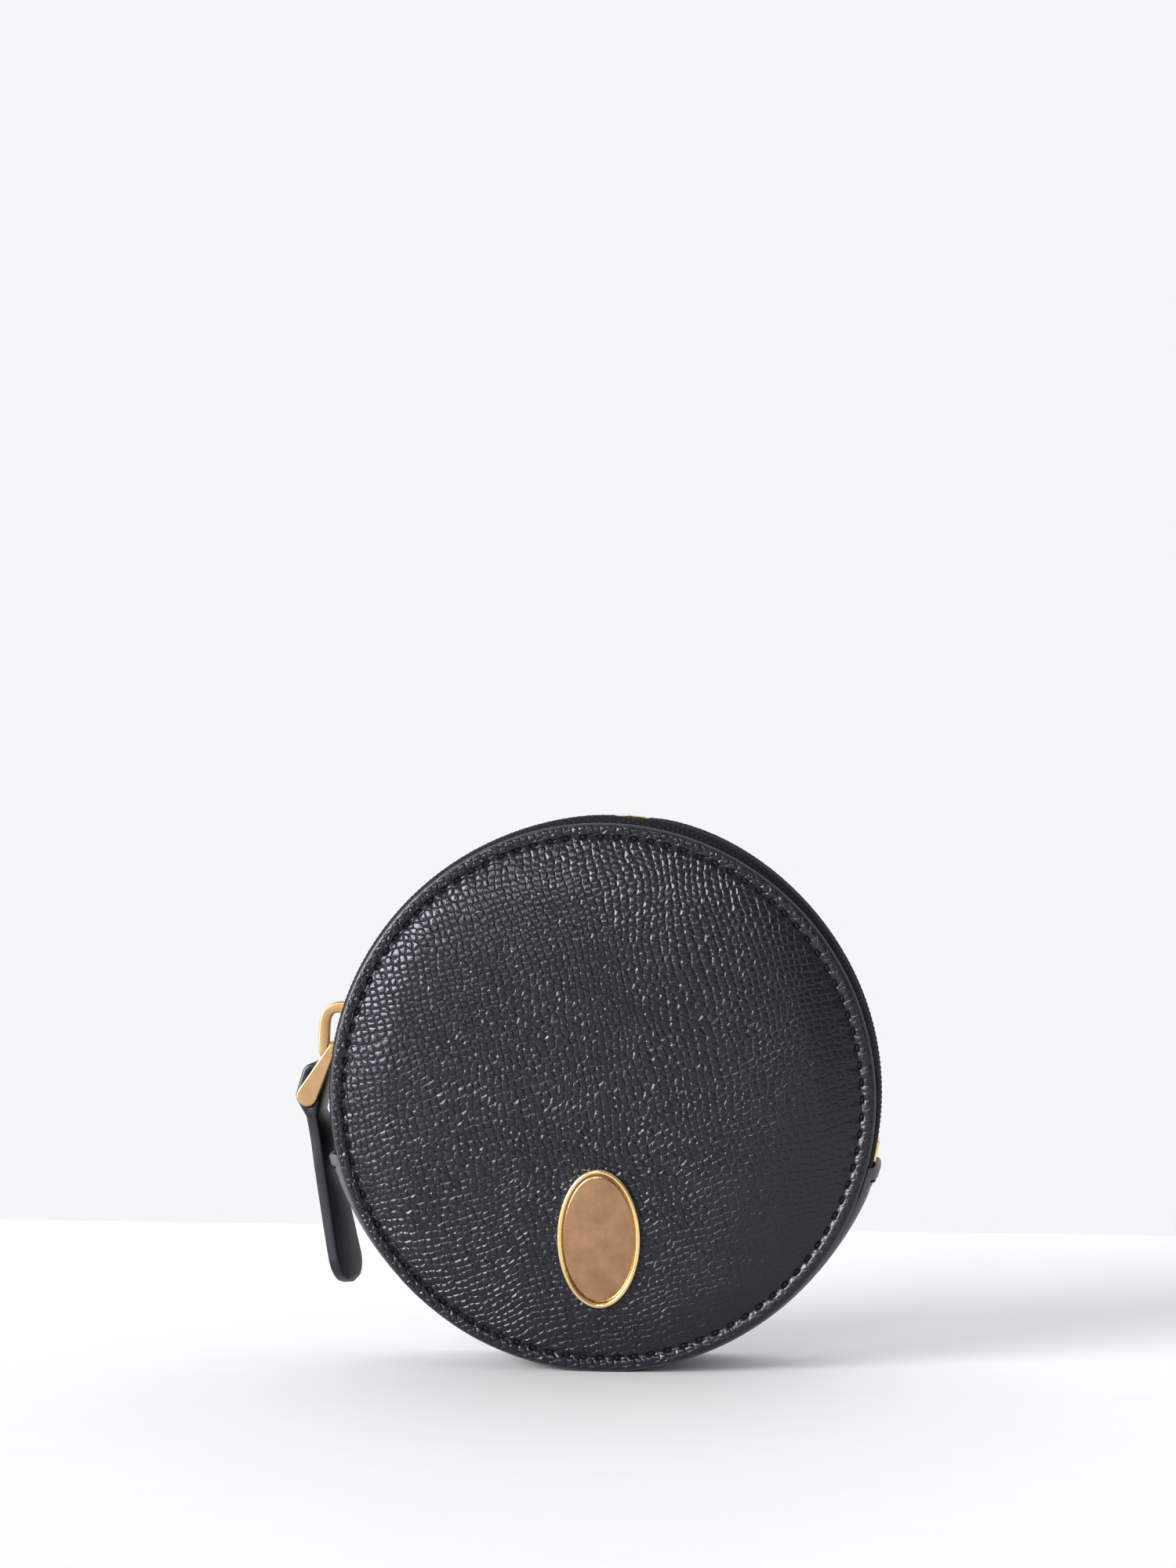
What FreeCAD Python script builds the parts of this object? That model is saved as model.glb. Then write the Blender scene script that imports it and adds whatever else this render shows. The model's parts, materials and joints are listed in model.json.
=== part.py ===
"""Round coin purse: two padded leather discs, a zip over the top and a gusset below.

Units are millimetres. The purse stands on its edge: +Z is up, the front faces -Y, and the
origin is the middle of the small flat that the gusset rests on. Angles of places round the
rim are degrees in the XZ plane, 0 at the right seen from the front, 90 at the top.
"""
import FreeCAD, Part
import math
import os

Vec = FreeCAD.Vector

# ---- driving dimensions -------------------------------------------------------------
PANEL_R = 50.0            # leather discs
CENTRE_Z = PANEL_R        # height of the discs' common axis
BAND_HALF = 10.5          # half the width of the zip band and gusset, under the discs
LEATHER_T = 1.3           # disc leather
CROWN = 3.8               # how far a disc domes out from its rim
DOME_R = 46.0             # where the dome starts, inside the sewn rim
DOME_POWER = 2.6          # fullness of the dome
SEW_T = 0.5               # what is sewn under the rim: tape or skived gusset edge
SEW_R = 45.3              # inner radius of what is sewn under the rim
PAD_R = 44.8              # foam discs
PAD_CROWN = 2.3           # dome of the foam's inner face
LINING_T = 0.4
LINING_R = 48.9           # disc linings

STITCH_R = 47.5           # ring of thread on each disc
STITCH_PITCH = 3.1
STITCH_LEN = 2.3
STITCH_W = 0.5
STITCH_D = 0.35           # depth of the groove that the thread lies in

FOLD_Z = 51.0             # the front folds forward above this height
FOLD_GAP = 0.1

TAPE_T = 0.5
TAPE_MID_R = 50.5
TAPE_EDGE_Y = 0.9         # how far each tape stops short of the middle of the zip
TAPE_FIT = 0.01           # slack between the flat slot in a tooth and the curved tape
TAPE_FROM = -19.3         # angles where the tapes end, under the gusset's ends
TAPE_TO = 199.3

TOOTH_PITCH = 2.2
TOOTH_W = 1.0             # along the zip
TOOTH_H = 1.1             # across the tape's thickness
TOOTH_BACK = 2.9          # reach of a tooth on its own side
TOOTH_HEAD = 0.5          # reach of a tooth past the middle
TEETH_FROM = -8.4
TEETH_TO = 170.4

BOTTOM_STOP = (-14.2, -9.2)
TOP_STOPS = (174.6, 176.9)
STOP_H = 2.4

SLIDER_AT = 167.5         # angle of the slider when the zip is closed
SLIDER_HALF = 6.3         # half its length, as an angle
SLIDER_W = 4.1            # half its width
PLATE_T = 0.5
CHANNEL_GAP = 0.15
DIVIDER = (2.8, 5.2)      # angles, from the slider's middle towards its wide end
BRIDGE_W = 2.6
BRIDGE_T = 1.55
BRIDGE_GAP = 1.7          # clear height under the bridge
BRIDGE_FROM = -5.1        # along the slider, towards its wide end
BRIDGE_TO = 5.4
BRIDGE_FOOT = 1.6         # length of its fixed foot, along the slider
BRIDGE_TIP = 1.5          # and of its free tip

PIVOT_ALONG = -2.9        # puller's bar, along the slider from its middle
PIVOT_UP = 0.57           # and above the slider's top plate
BAR_R = 0.5
LINK_DROP = (-3.67, -9.23) # from the pivot to the link's lower bar, X and Z
LINK_TOP_R = 1.0
LINK_LOW_R = 2.0
LINK_BAR_R = 0.8
LINK_IN = 5.45            # half the clear width between the cheeks
CHEEK_T = 1.1

TAB_W = 5.2               # half width of the leather pull
TAB_T = 2.2               # two layers
TAB_LEN = 36.5            # from the link's lower bar to the tip
TAB_LEAN = 10.8           # degrees from vertical, tip towards the purse
TAB_FIT = 0.03            # radial clearance of the fold round the bar

GUSSET_T = 0.9
GUSSET_FROM = 199.6
GUSSET_TO = 340.4
CUFFS = ((193.0, 201.0), (339.0, 345.4))
CUFF_T = 1.8
CUFF_STITCH_IN = 2.2      # stitch row, in degrees from each folded end
CUFF_STITCHES = 6

PLAQUE_Z = 24.7           # height of the plaque's middle
PLAQUE_HALF = (7.6, 12.7)
PLAQUE_T = 1.3
PLAQUE_RIM = 0.9
INLAY_T = 0.8
POST_R = 0.7
POST_DZ = 7.5
WASHER_R = 2.4
WASHER_T = 0.4
WASHER_SINK = 0.4         # washer's front face behind the leather's back, at its middle

# ---- worked out ---------------------------------------------------------------------
RIM_Y = BAND_HALF + LEATHER_T
LINING_Y = BAND_HALF - SEW_T
TAPE_IN = TAPE_MID_R - TAPE_T / 2
TAPE_OUT = TAPE_MID_R + TAPE_T / 2
TOOTH_IN = TAPE_MID_R - TOOTH_H / 2
TOOTH_OUT = TAPE_MID_R + TOOTH_H / 2
CHANNEL_IN = TOOTH_IN - CHANNEL_GAP
CHANNEL_OUT = TOOTH_OUT + CHANNEL_GAP
PLATE_TOP = CHANNEL_OUT + PLATE_T
CENTRE = Vec(0, 0, CENTRE_Z)
Y_AXIS = Vec(0, 1, 0)
BIG = 200.0
FRONT, BACK = -1, 1


# ---- small helpers ------------------------------------------------------------------
def box(x0, x1, y0, y1, z0, z1):
    return Part.makeBox(x1 - x0, y1 - y0, z1 - z0, Vec(x0, y0, z0))


def rod(radius, x, z, y0, y1):
    """Cylinder along Y."""
    return Part.makeCylinder(radius, y1 - y0, Vec(x, y0, z), Y_AXIS)


def turned(shape, degrees):
    """Turn about the purse's axis, anticlockwise seen from the front."""
    done = shape.copy()
    done.rotate(CENTRE, Y_AXIS, -degrees)
    return done


def other_side(shape):
    """Mirror from front to back."""
    return shape.mirror(Vec(0, 0, 0), Y_AXIS)


def on_side(shape, side):
    return shape if side == FRONT else other_side(shape)


def polygon_face(points):
    """Face in the plane X = 0, from (y, radius) points measured from the purse's axis."""
    corners = [Vec(0, y, CENTRE_Z + r) for y, r in points]
    return Part.Face(Part.makePolygon(corners + corners[:1]))


def arc_band(points, start, end):
    """Sweep a (y, radius) outline round the purse's axis between two angles."""
    face = polygon_face(points)
    face.rotate(CENTRE, Y_AXIS, 90 - end)
    return face.revolve(CENTRE, Y_AXIS, end - start)


def rectangle(y0, y1, r0, r1):
    return [(y0, r0), (y1, r0), (y1, r1), (y0, r1)]


def above(shape, z):
    return shape.common(box(-BIG, BIG, -BIG, BIG, z, BIG))


def below(shape, z):
    return shape.common(box(-BIG, BIG, -BIG, BIG, -BIG, z))


def lower_part(shape):
    return below(shape, FOLD_Z - FOLD_GAP / 2)


def upper_part(shape):
    return above(shape, FOLD_Z + FOLD_GAP / 2)


def flat_disc(radius, y0, y1):
    """Disc on the purse's axis, flattened where the purse rests."""
    return above(rod(radius, 0, CENTRE_Z, y0, y1), 0)


# ---- domed discs --------------------------------------------------------------------
def dome_depth(radius, rim, crown, dome_radius):
    """Distance of a domed face from the middle of the purse."""
    if radius >= dome_radius:
        return rim
    return rim + crown * (1 - (radius / dome_radius) ** DOME_POWER)


def outer_face(radius):
    return dome_depth(radius, RIM_Y, CROWN, DOME_R)


def leather_back(radius):
    return outer_face(radius) - LEATHER_T


def pad_back(radius):
    return dome_depth(radius, LINING_Y, PAD_CROWN, PAD_R)


def lining_back(radius):
    return pad_back(radius) - LINING_T


def domed_edge(face, edge_radius, dome_radius):
    """Edges of a domed outline, from the axis out to the edge, on the front side."""
    steps = 8
    reach = min(edge_radius, dome_radius)
    radii = [reach * i / steps for i in range(steps + 1)]
    points = [Vec(0, -face(r), CENTRE_Z + r) for r in radii]
    curve = Part.BSplineCurve()
    curve.interpolate(points)
    edges = [curve.toShape()]
    if edge_radius > dome_radius:
        rim = Vec(0, -face(edge_radius), CENTRE_Z + edge_radius)
        edges.append(Part.makeLine(points[-1], rim))
    return edges


def domed_disc(outer, inner, edge_radius, outer_dome, inner_dome):
    """Disc between two domed faces, on the front side."""
    top = domed_edge(outer, edge_radius, outer_dome)
    low = domed_edge(inner, edge_radius, inner_dome)
    axis_line = Part.makeLine(Vec(0, -inner(0), CENTRE_Z), Vec(0, -outer(0), CENTRE_Z))
    rim_line = Part.makeLine(
        Vec(0, -outer(edge_radius), CENTRE_Z + edge_radius),
        Vec(0, -inner(edge_radius), CENTRE_Z + edge_radius),
    )
    wire = Part.Wire(Part.__sortEdges__(top + low + [axis_line, rim_line]))
    return Part.Face(wire).revolve(CENTRE, Y_AXIS, 360)


def stitch_groove():
    """Ring cut from a disc's rim, for its thread."""
    return ring(STITCH_R - STITCH_W / 2, STITCH_R + STITCH_W / 2, -RIM_Y - 1, -RIM_Y + STITCH_D)


def ring(inner, outer, y0, y1):
    return rod(outer, 0, CENTRE_Z, y0, y1).cut(rod(inner, 0, CENTRE_Z, y0, y1))


def leather_disc():
    disc = domed_disc(outer_face, leather_back, PANEL_R, DOME_R, DOME_R)
    return disc.cut(stitch_groove())


def pad_disc():
    return domed_disc(leather_back, pad_back, PAD_R, DOME_R, PAD_R)


def lining_disc():
    return domed_disc(pad_back, lining_back, LINING_R, PAD_R, PAD_R)


def stitch_ring():
    """Short threads lying in the groove, clear of the fold."""
    count = round(2 * math.pi * STITCH_R / STITCH_PITCH)
    reach = math.degrees(STITCH_LEN / STITCH_R)
    margin = 0.03
    outline = rectangle(
        -RIM_Y + 0.05,
        -RIM_Y + STITCH_D,
        STITCH_R - STITCH_W / 2 + margin,
        STITCH_R + STITCH_W / 2 - margin,
    )
    first = 360 / count / 2
    return [arc_band(outline, first + 360 * i / count - reach / 2,
                     first + 360 * i / count + reach / 2) for i in range(count)]


def stitches(side, wanted):
    """Threads of one disc whose middles pass the test, as one group."""
    chosen = [s for s in stitch_ring() if wanted(s.BoundBox)]
    return on_side(Part.makeCompound(chosen), side)


# ---- zip ----------------------------------------------------------------------------
def tape():
    """Front tape: a flange sewn under the disc, turned to run along the band."""
    outline = [
        (-BAND_HALF, SEW_R),
        (-BAND_HALF + SEW_T, SEW_R),
        (-BAND_HALF + SEW_T, TAPE_IN),
        (-TAPE_EDGE_Y, TAPE_IN),
        (-TAPE_EDGE_Y, TAPE_OUT),
        (-BAND_HALF, TAPE_OUT),
    ]
    return arc_band(outline, TAPE_FROM, TAPE_TO)


def tooth():
    """One front tooth at the top, gripping the tape's edge."""
    half = TOOTH_W / 2
    low, high = CENTRE_Z + TOOTH_IN, CENTRE_Z + TOOTH_OUT
    block = box(-half, half, -TOOTH_BACK, TOOTH_HEAD, low, high)
    head = Part.makeCylinder(TOOTH_HEAD, TOOTH_H, Vec(0, 0, low))
    slot = box(
        -1, 1, -TOOTH_BACK - 1, -TAPE_EDGE_Y,
        CENTRE_Z + TAPE_IN - TAPE_FIT, CENTRE_Z + TAPE_OUT + TAPE_FIT,
    )
    neck = block.common(box(-half, half, -TOOTH_BACK, 0, low, high))
    return neck.fuse(head).removeSplitter().cut(slot)


def teeth(side):
    step = math.degrees(TOOTH_PITCH / TAPE_MID_R)
    count = int((TEETH_TO - TEETH_FROM) / step)
    shift = 0.0 if side == FRONT else step / 2
    one = on_side(tooth(), side)
    start = TEETH_FROM + shift - 90
    return Part.makeCompound([turned(one, start + step * i) for i in range(count)])


def clip(outline_from, outline_to, y0, y1):
    """Metal clip wrapped over a tape's edge, open towards the tape."""
    low, high = TAPE_MID_R - STOP_H / 2, TAPE_MID_R + STOP_H / 2
    solid = arc_band(rectangle(y0, y1, low, high), outline_from, outline_to)
    for side in (FRONT, BACK):
        inner, outer = sorted((side * TAPE_EDGE_Y, side * 2 * BAND_HALF))
        cut = rectangle(inner, outer, TAPE_IN, TAPE_OUT)
        solid = solid.cut(arc_band(cut, outline_from - 1, outline_to + 1))
    return solid


def bottom_stop():
    return clip(BOTTOM_STOP[0], BOTTOM_STOP[1], -TOOTH_BACK, TOOTH_BACK)


def top_stop(side):
    near, far = sorted((side * 0.25, side * TOOTH_BACK))
    return clip(TOP_STOPS[0], TOP_STOPS[1], near, far)


def slider_bridge():
    """Hook over the slider's top plate, joined at its wide end and open at the other."""
    foot = CENTRE_Z + PLATE_TOP
    under = foot + BRIDGE_GAP
    top = under + BRIDGE_T
    y0, y1 = -BRIDGE_W / 2, BRIDGE_W / 2
    whole = box(BRIDGE_FROM, BRIDGE_TO, y0, y1, foot - 0.6, top)
    corners = [e for e in whole.Edges if is_top_y_edge(e, top)]
    whole = whole.makeFillet(2.2, corners)
    hole = box(BRIDGE_FROM + BRIDGE_FOOT, BRIDGE_TO - BRIDGE_TIP, y0 - 1, y1 + 1, foot - 1, under)
    corners = [e for e in hole.Edges if is_top_y_edge(e, under)]
    whole = whole.cut(hole.makeFillet(1.1, corners))
    free_end = box(0, BIG, y0 - 1, y1 + 1, foot - 1, foot + 0.2)
    return whole.cut(free_end)


def is_top_y_edge(edge, z):
    box_of = edge.BoundBox
    return box_of.ZLength < 1e-6 and box_of.XLength < 1e-6 and abs(box_of.ZMin - z) < 1e-6


def slider_body():
    """Two plates, side flanges and the divider, bent to the zip's curve, and the bridge."""
    half = SLIDER_HALF
    flange_in = TOOTH_BACK + 0.2
    slot_in, slot_out = TAPE_IN - 0.25, TAPE_OUT + 0.25
    spans = [
        (-SLIDER_W, SLIDER_W, CHANNEL_OUT, PLATE_TOP),
        (-SLIDER_W, SLIDER_W, CHANNEL_IN - PLATE_T, CHANNEL_IN),
        (-SLIDER_W, -flange_in, slot_out, CHANNEL_OUT),
        (flange_in, SLIDER_W, slot_out, CHANNEL_OUT),
        (-SLIDER_W, -flange_in, CHANNEL_IN, slot_in),
        (flange_in, SLIDER_W, CHANNEL_IN, slot_in),
    ]
    solid = None
    for span in spans:
        band = arc_band(rectangle(*span), 90 - half, 90 + half)
        solid = band if solid is None else solid.fuse(band)
    post = rectangle(-0.8, 0.8, CHANNEL_IN - 0.1, CHANNEL_OUT + 0.1)
    solid = solid.fuse(arc_band(post, 90 + DIVIDER[0], 90 + DIVIDER[1]))
    solid = solid.common(slider_outline())
    solid = solid.fuse(slider_bridge()).removeSplitter()
    return turned(solid, SLIDER_AT - 90)


def slider_outline():
    """Plan of the slider, with rounded corners."""
    reach = math.radians(SLIDER_HALF) * PLATE_TOP + 1
    plan = box(-reach, reach, -SLIDER_W, SLIDER_W, 0, BIG)
    corners = [e for e in plan.Edges if e.BoundBox.ZLength > BIG / 2]
    return plan.makeFillet(2.2, corners)


# ---- puller -------------------------------------------------------------------------
def puller_points():
    """The puller's pivot and the link's lower bar, as (x, z)."""
    local = Part.Vertex(Vec(PIVOT_ALONG, 0, CENTRE_Z + PLATE_TOP + PIVOT_UP))
    pivot = turned(local, SLIDER_AT - 90).Point
    return (pivot.x, pivot.z), (pivot.x + LINK_DROP[0], pivot.z + LINK_DROP[1])


def teardrop(a, ra, b, rb, y0, y1):
    """Plate with the outline of two circles and their outer tangents."""
    dx, dz = b[0] - a[0], b[1] - a[1]
    length = math.hypot(dx, dz)
    along = (dx / length, dz / length)
    lean = math.asin((rb - ra) / length)
    plate = rod(ra, a[0], a[1], y0, y1).fuse(rod(rb, b[0], b[1], y0, y1))
    corners = []
    for side in (1, -1):
        normal = (
            -side * along[1] * math.cos(lean) - along[0] * math.sin(lean),
            side * along[0] * math.cos(lean) - along[1] * math.sin(lean),
        )
        near = Vec(a[0] + ra * normal[0], y0, a[1] + ra * normal[1])
        far = Vec(b[0] + rb * normal[0], y0, b[1] + rb * normal[1])
        corners.append((near, far))
    (near_1, far_1), (near_2, far_2) = corners
    web = Part.Face(Part.makePolygon([near_1, far_1, far_2, near_2, near_1]))
    return plate.fuse(web.extrude(Vec(0, y1 - y0, 0))).removeSplitter()


def puller_link():
    pivot, low = puller_points()
    out = LINK_IN + CHEEK_T
    solid = rod(BAR_R, pivot[0], pivot[1], -out + 0.3, out - 0.3)
    solid = solid.fuse(rod(LINK_BAR_R, low[0], low[1], -out + 0.3, out - 0.3))
    for y0, y1 in ((-out, -LINK_IN), (LINK_IN, out)):
        cheek = teardrop(pivot, LINK_TOP_R, low, LINK_LOW_R, y0, y1)
        solid = solid.fuse(cheek)
    return solid.removeSplitter()


def pull_tab():
    """Leather strip folded round the link's lower bar, rounded at its tip."""
    _, low = puller_points()
    hole = LINK_BAR_R + TAB_FIT
    strip = box(-TAB_T / 2, TAB_T / 2, -TAB_W, TAB_W, -TAB_LEN, 0)
    end = Part.makeCylinder(TAB_W, TAB_T, Vec(-TAB_T / 2, 0, -TAB_LEN + TAB_W), Vec(1, 0, 0))
    body = box(-TAB_T / 2, TAB_T / 2, -TAB_W, TAB_W, -TAB_LEN + TAB_W, 0)
    solid = strip.common(end).fuse(body)
    solid = solid.fuse(Part.makeCylinder(hole + TAB_T / 2, 2 * TAB_W, Vec(0, -TAB_W, 0), Y_AXIS))
    solid = solid.cut(Part.makeCylinder(hole, 4 * TAB_W, Vec(0, -2 * TAB_W, 0), Y_AXIS))
    solid = solid.removeSplitter()
    solid.rotate(Vec(0, 0, 0), Y_AXIS, -TAB_LEAN)
    solid.translate(Vec(low[0], 0, low[1]))
    return solid


# ---- gusset -------------------------------------------------------------------------
def gusset_edge():
    """Skived edge of the gusset, sewn under the front disc."""
    outline = rectangle(-BAND_HALF, -BAND_HALF + SEW_T, SEW_R, PANEL_R + 0.2)
    return arc_band(outline, GUSSET_FROM, GUSSET_TO)


def gusset_web():
    """The strip between the discs, flattened where it rests."""
    inner = above(rod(PANEL_R, 0, CENTRE_Z, -BAND_HALF, BAND_HALF), GUSSET_T)
    outer = flat_disc(PANEL_R + GUSSET_T, -BAND_HALF, BAND_HALF)
    sector = arc_band(rectangle(-BAND_HALF, BAND_HALF, 0.0, BIG), GUSSET_FROM, GUSSET_TO)
    return outer.cut(inner).common(sector)


def gusset():
    solid = gusset_web().fuse([above(gusset_edge(), 0), above(other_side(gusset_edge()), 0)])
    for start, end in CUFFS:
        low = TAPE_OUT + 0.05
        cuff = rectangle(-BAND_HALF, BAND_HALF, low, low + CUFF_T)
        solid = solid.fuse(arc_band(cuff, start, end))
    return solid.removeSplitter()


def gusset_lining():
    reach = LINING_Y - LINING_T - 0.05
    skin = GUSSET_T + LINING_T
    outer = above(rod(PANEL_R, 0, CENTRE_Z, -reach, reach), GUSSET_T)
    inner = above(rod(PANEL_R - LINING_T, 0, CENTRE_Z, -reach, reach), skin)
    sector = arc_band(rectangle(-reach, reach, 0.0, BIG), GUSSET_FROM, GUSSET_TO)
    return outer.cut(inner).common(sector)


def cuff_stitching():
    """A row of threads across each folded end of the gusset."""
    outer = TAPE_OUT + 0.05 + CUFF_T
    pitch = 2 * BAND_HALF / CUFF_STITCHES
    thread = []
    for (start, end), inward in zip(CUFFS, (1, -1)):
        edge = start if inward == 1 else end
        at = edge + inward * CUFF_STITCH_IN
        for i in range(CUFF_STITCHES):
            y = -BAND_HALF + pitch * (i + 0.5)
            outline = rectangle(y - STITCH_LEN / 2, y + STITCH_LEN / 2, outer, outer + 0.2)
            thread.append(arc_band(outline, at - 0.25, at + 0.25))
    return Part.makeCompound(thread)


# ---- plaque -------------------------------------------------------------------------
def leather_offset(lift):
    """Domed shell that starts on the front leather and stands out from it by lift."""
    return domed_disc(lambda r: outer_face(r) + lift, outer_face, DOME_R, DOME_R, DOME_R)


def oval(half_x, half_z):
    """Oval prism along Y, in front of the purse, at the plaque's place."""
    long_axis = Vec(0, -BIG / 2, PLAQUE_Z + half_z)
    side_point = Vec(half_x, -BIG / 2, PLAQUE_Z)
    curve = Part.Ellipse(long_axis, side_point, Vec(0, -BIG / 2, PLAQUE_Z))
    face = Part.Face(Part.Wire(curve.toShape()))
    return face.extrude(Vec(0, BIG / 2, 0))


def plaque_frame():
    half_x, half_z = PLAQUE_HALF
    tray = leather_offset(PLAQUE_T).common(oval(half_x, half_z))
    well = oval(half_x - PLAQUE_RIM, half_z - PLAQUE_RIM)
    floor = leather_offset(PLAQUE_T - INLAY_T)
    return tray.cut(well.common(tray).cut(floor))


def plaque_inlay():
    half_x, half_z = PLAQUE_HALF
    margin = 0.04
    well = oval(half_x - PLAQUE_RIM - margin, half_z - PLAQUE_RIM - margin)
    shell = leather_offset(PLAQUE_T - 0.25).cut(leather_offset(PLAQUE_T - INLAY_T))
    return shell.common(well)


def post_places():
    return (PLAQUE_Z - POST_DZ, PLAQUE_Z + POST_DZ)


def depth_at(face, z):
    return face(abs(z - CENTRE_Z))


def plaque_posts():
    """Riveted posts from the plaque's back, through the leather and the washers."""
    posts = []
    for z in post_places():
        start = -depth_at(outer_face, z - POST_R * math.copysign(1, CENTRE_Z - z))
        end = -depth_at(leather_back, z) + WASHER_SINK + WASHER_T + 0.2
        post = rod(POST_R, 0, z, start - 1, end)
        posts.append(post.cut(leather_offset(PLAQUE_T)))
    return Part.makeCompound(posts)


def plaque_washers():
    washers = []
    for z in post_places():
        start = -depth_at(leather_back, z) + WASHER_SINK
        disc = rod(WASHER_R, 0, z, start, start + WASHER_T)
        washers.append(disc.cut(rod(POST_R + 0.02, 0, z, start - 1, start + 2)))
    return Part.makeCompound(washers)


def post_holes():
    return Part.makeCompound([rod(POST_R, 0, z, -BIG, 0) for z in post_places()])


def washer_pockets():
    """Room in the foam for the washers and the posts' ends."""
    pockets = []
    for z in post_places():
        start = -depth_at(leather_back, z)
        depth = WASHER_SINK + WASHER_T + 0.25
        pockets.append(rod(WASHER_R + 0.1, 0, z, start - 2, start + depth))
    return Part.makeCompound(pockets)


# ---- nodes --------------------------------------------------------------------------
def leather_nodes():
    disc = leather_disc()
    return {
        "front_panel_lower": lower_part(disc).cut(post_holes()),
        "front_panel_upper": upper_part(disc),
        "back_panel": other_side(disc),
        "gusset": gusset(),
    }


def inner_nodes():
    pad = pad_disc()
    lining = lining_disc()
    return {
        "front_padding_lower": lower_part(pad).cut(washer_pockets()),
        "front_padding_upper": upper_part(pad),
        "back_padding": other_side(pad),
        "front_lining_lower": lower_part(lining),
        "front_lining_upper": upper_part(lining),
        "back_lining": other_side(lining),
        "gusset_lining": gusset_lining(),
    }


def thread_nodes():
    return {
        "front_stitching_lower": stitches(FRONT, lambda b: b.ZMax < FOLD_Z - FOLD_GAP),
        "front_stitching_upper": stitches(FRONT, lambda b: b.ZMin > FOLD_Z + FOLD_GAP),
        "back_stitching": stitches(BACK, lambda b: True),
        "gusset_end_stitching": cuff_stitching(),
    }


def zip_nodes():
    front = tape()
    return {
        "front_zip_tape": front,
        "back_zip_tape": other_side(front),
        "front_zip_teeth": teeth(FRONT),
        "back_zip_teeth": teeth(BACK),
        "front_top_stop": top_stop(FRONT),
        "back_top_stop": top_stop(BACK),
        "zip_bottom_stop": bottom_stop(),
        "slider_body": slider_body(),
        "puller_link": puller_link(),
        "pull_tab": pull_tab(),
    }


def plaque_nodes():
    return {
        "plaque_frame": plaque_frame(),
        "plaque_inlay": plaque_inlay(),
        "plaque_posts": plaque_posts(),
        "plaque_washers": plaque_washers(),
    }


def main():
    os.makedirs("parts", exist_ok=True)
    nodes = {}
    for group in (leather_nodes, inner_nodes, thread_nodes, zip_nodes, plaque_nodes):
        nodes.update(group())
    for name, shape in nodes.items():
        shape.exportStep("parts/" + name + ".step")
        b = shape.BoundBox
        print("%-24s solids %3d valid %s volume %9.2f  x %.1f %.1f  y %.1f %.1f  z %.1f %.1f" % (
            name, len(shape.Solids), shape.isValid(), shape.Volume,
            b.XMin, b.XMax, b.YMin, b.YMax, b.ZMin, b.ZMax))
    pivot, low = puller_points()
    print("puller pivot x %.3f z %.3f, link bar x %.3f z %.3f" % (pivot + low))


main()
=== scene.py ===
"""Looks of the round leather coin purse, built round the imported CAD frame.

Lengths in the tables below are millimetres; meshes are written in metres. The front faces -Y.
A place on the purse is (angle, radius) round the discs' axis: 0 degrees is the right side seen
from the front and 90 is the top.
"""
import json
import math

import bmesh
import bpy
import numpy as np
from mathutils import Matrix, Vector


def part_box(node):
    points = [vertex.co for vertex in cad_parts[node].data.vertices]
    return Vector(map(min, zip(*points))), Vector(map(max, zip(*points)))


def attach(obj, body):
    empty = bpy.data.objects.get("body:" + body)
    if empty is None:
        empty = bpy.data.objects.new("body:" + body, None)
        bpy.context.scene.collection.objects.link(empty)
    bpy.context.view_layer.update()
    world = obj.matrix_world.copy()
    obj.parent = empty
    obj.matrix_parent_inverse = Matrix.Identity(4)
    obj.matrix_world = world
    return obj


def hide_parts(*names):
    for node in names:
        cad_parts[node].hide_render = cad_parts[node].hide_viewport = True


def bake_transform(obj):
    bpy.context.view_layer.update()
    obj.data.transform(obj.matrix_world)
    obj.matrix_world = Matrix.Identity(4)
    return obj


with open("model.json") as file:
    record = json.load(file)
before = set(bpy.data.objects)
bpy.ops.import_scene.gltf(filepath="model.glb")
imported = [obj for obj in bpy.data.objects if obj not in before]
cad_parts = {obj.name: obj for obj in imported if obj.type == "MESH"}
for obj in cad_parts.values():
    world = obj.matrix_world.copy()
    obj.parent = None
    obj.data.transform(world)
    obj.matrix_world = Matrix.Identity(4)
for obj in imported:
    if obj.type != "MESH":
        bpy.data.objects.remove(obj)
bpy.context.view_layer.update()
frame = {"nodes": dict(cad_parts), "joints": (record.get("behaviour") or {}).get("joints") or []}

MM = 0.001


def corners(node):
    """A CAD node's lowest and highest corners in millimetres."""
    low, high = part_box(node)
    return np.array(low) / MM, np.array(high) / MM


# ---- sizes read from the frame ------------------------------------------------------
disc_low, disc_high = corners("back_panel")
PANEL_R = (disc_high[0] - disc_low[0]) / 2
CENTRE_Z = (disc_low[2] + disc_high[2]) / 2
CREST_Y = disc_high[1]
BAND_HALF = disc_low[1]
RIM_Y = corners("back_stitching")[1][1] + 0.05
TAPE_OUT = corners("back_zip_tape")[1][0]
LINING_R = corners("back_lining")[1][0]
joint_at = {j["name"]: j for j in frame["joints"]}
PIVOT = np.array(joint_at["puller_swing"]["pos_m"]) / MM
LINK_BAR = np.array(joint_at["tab_swing"]["pos_m"]) / MM

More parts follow.
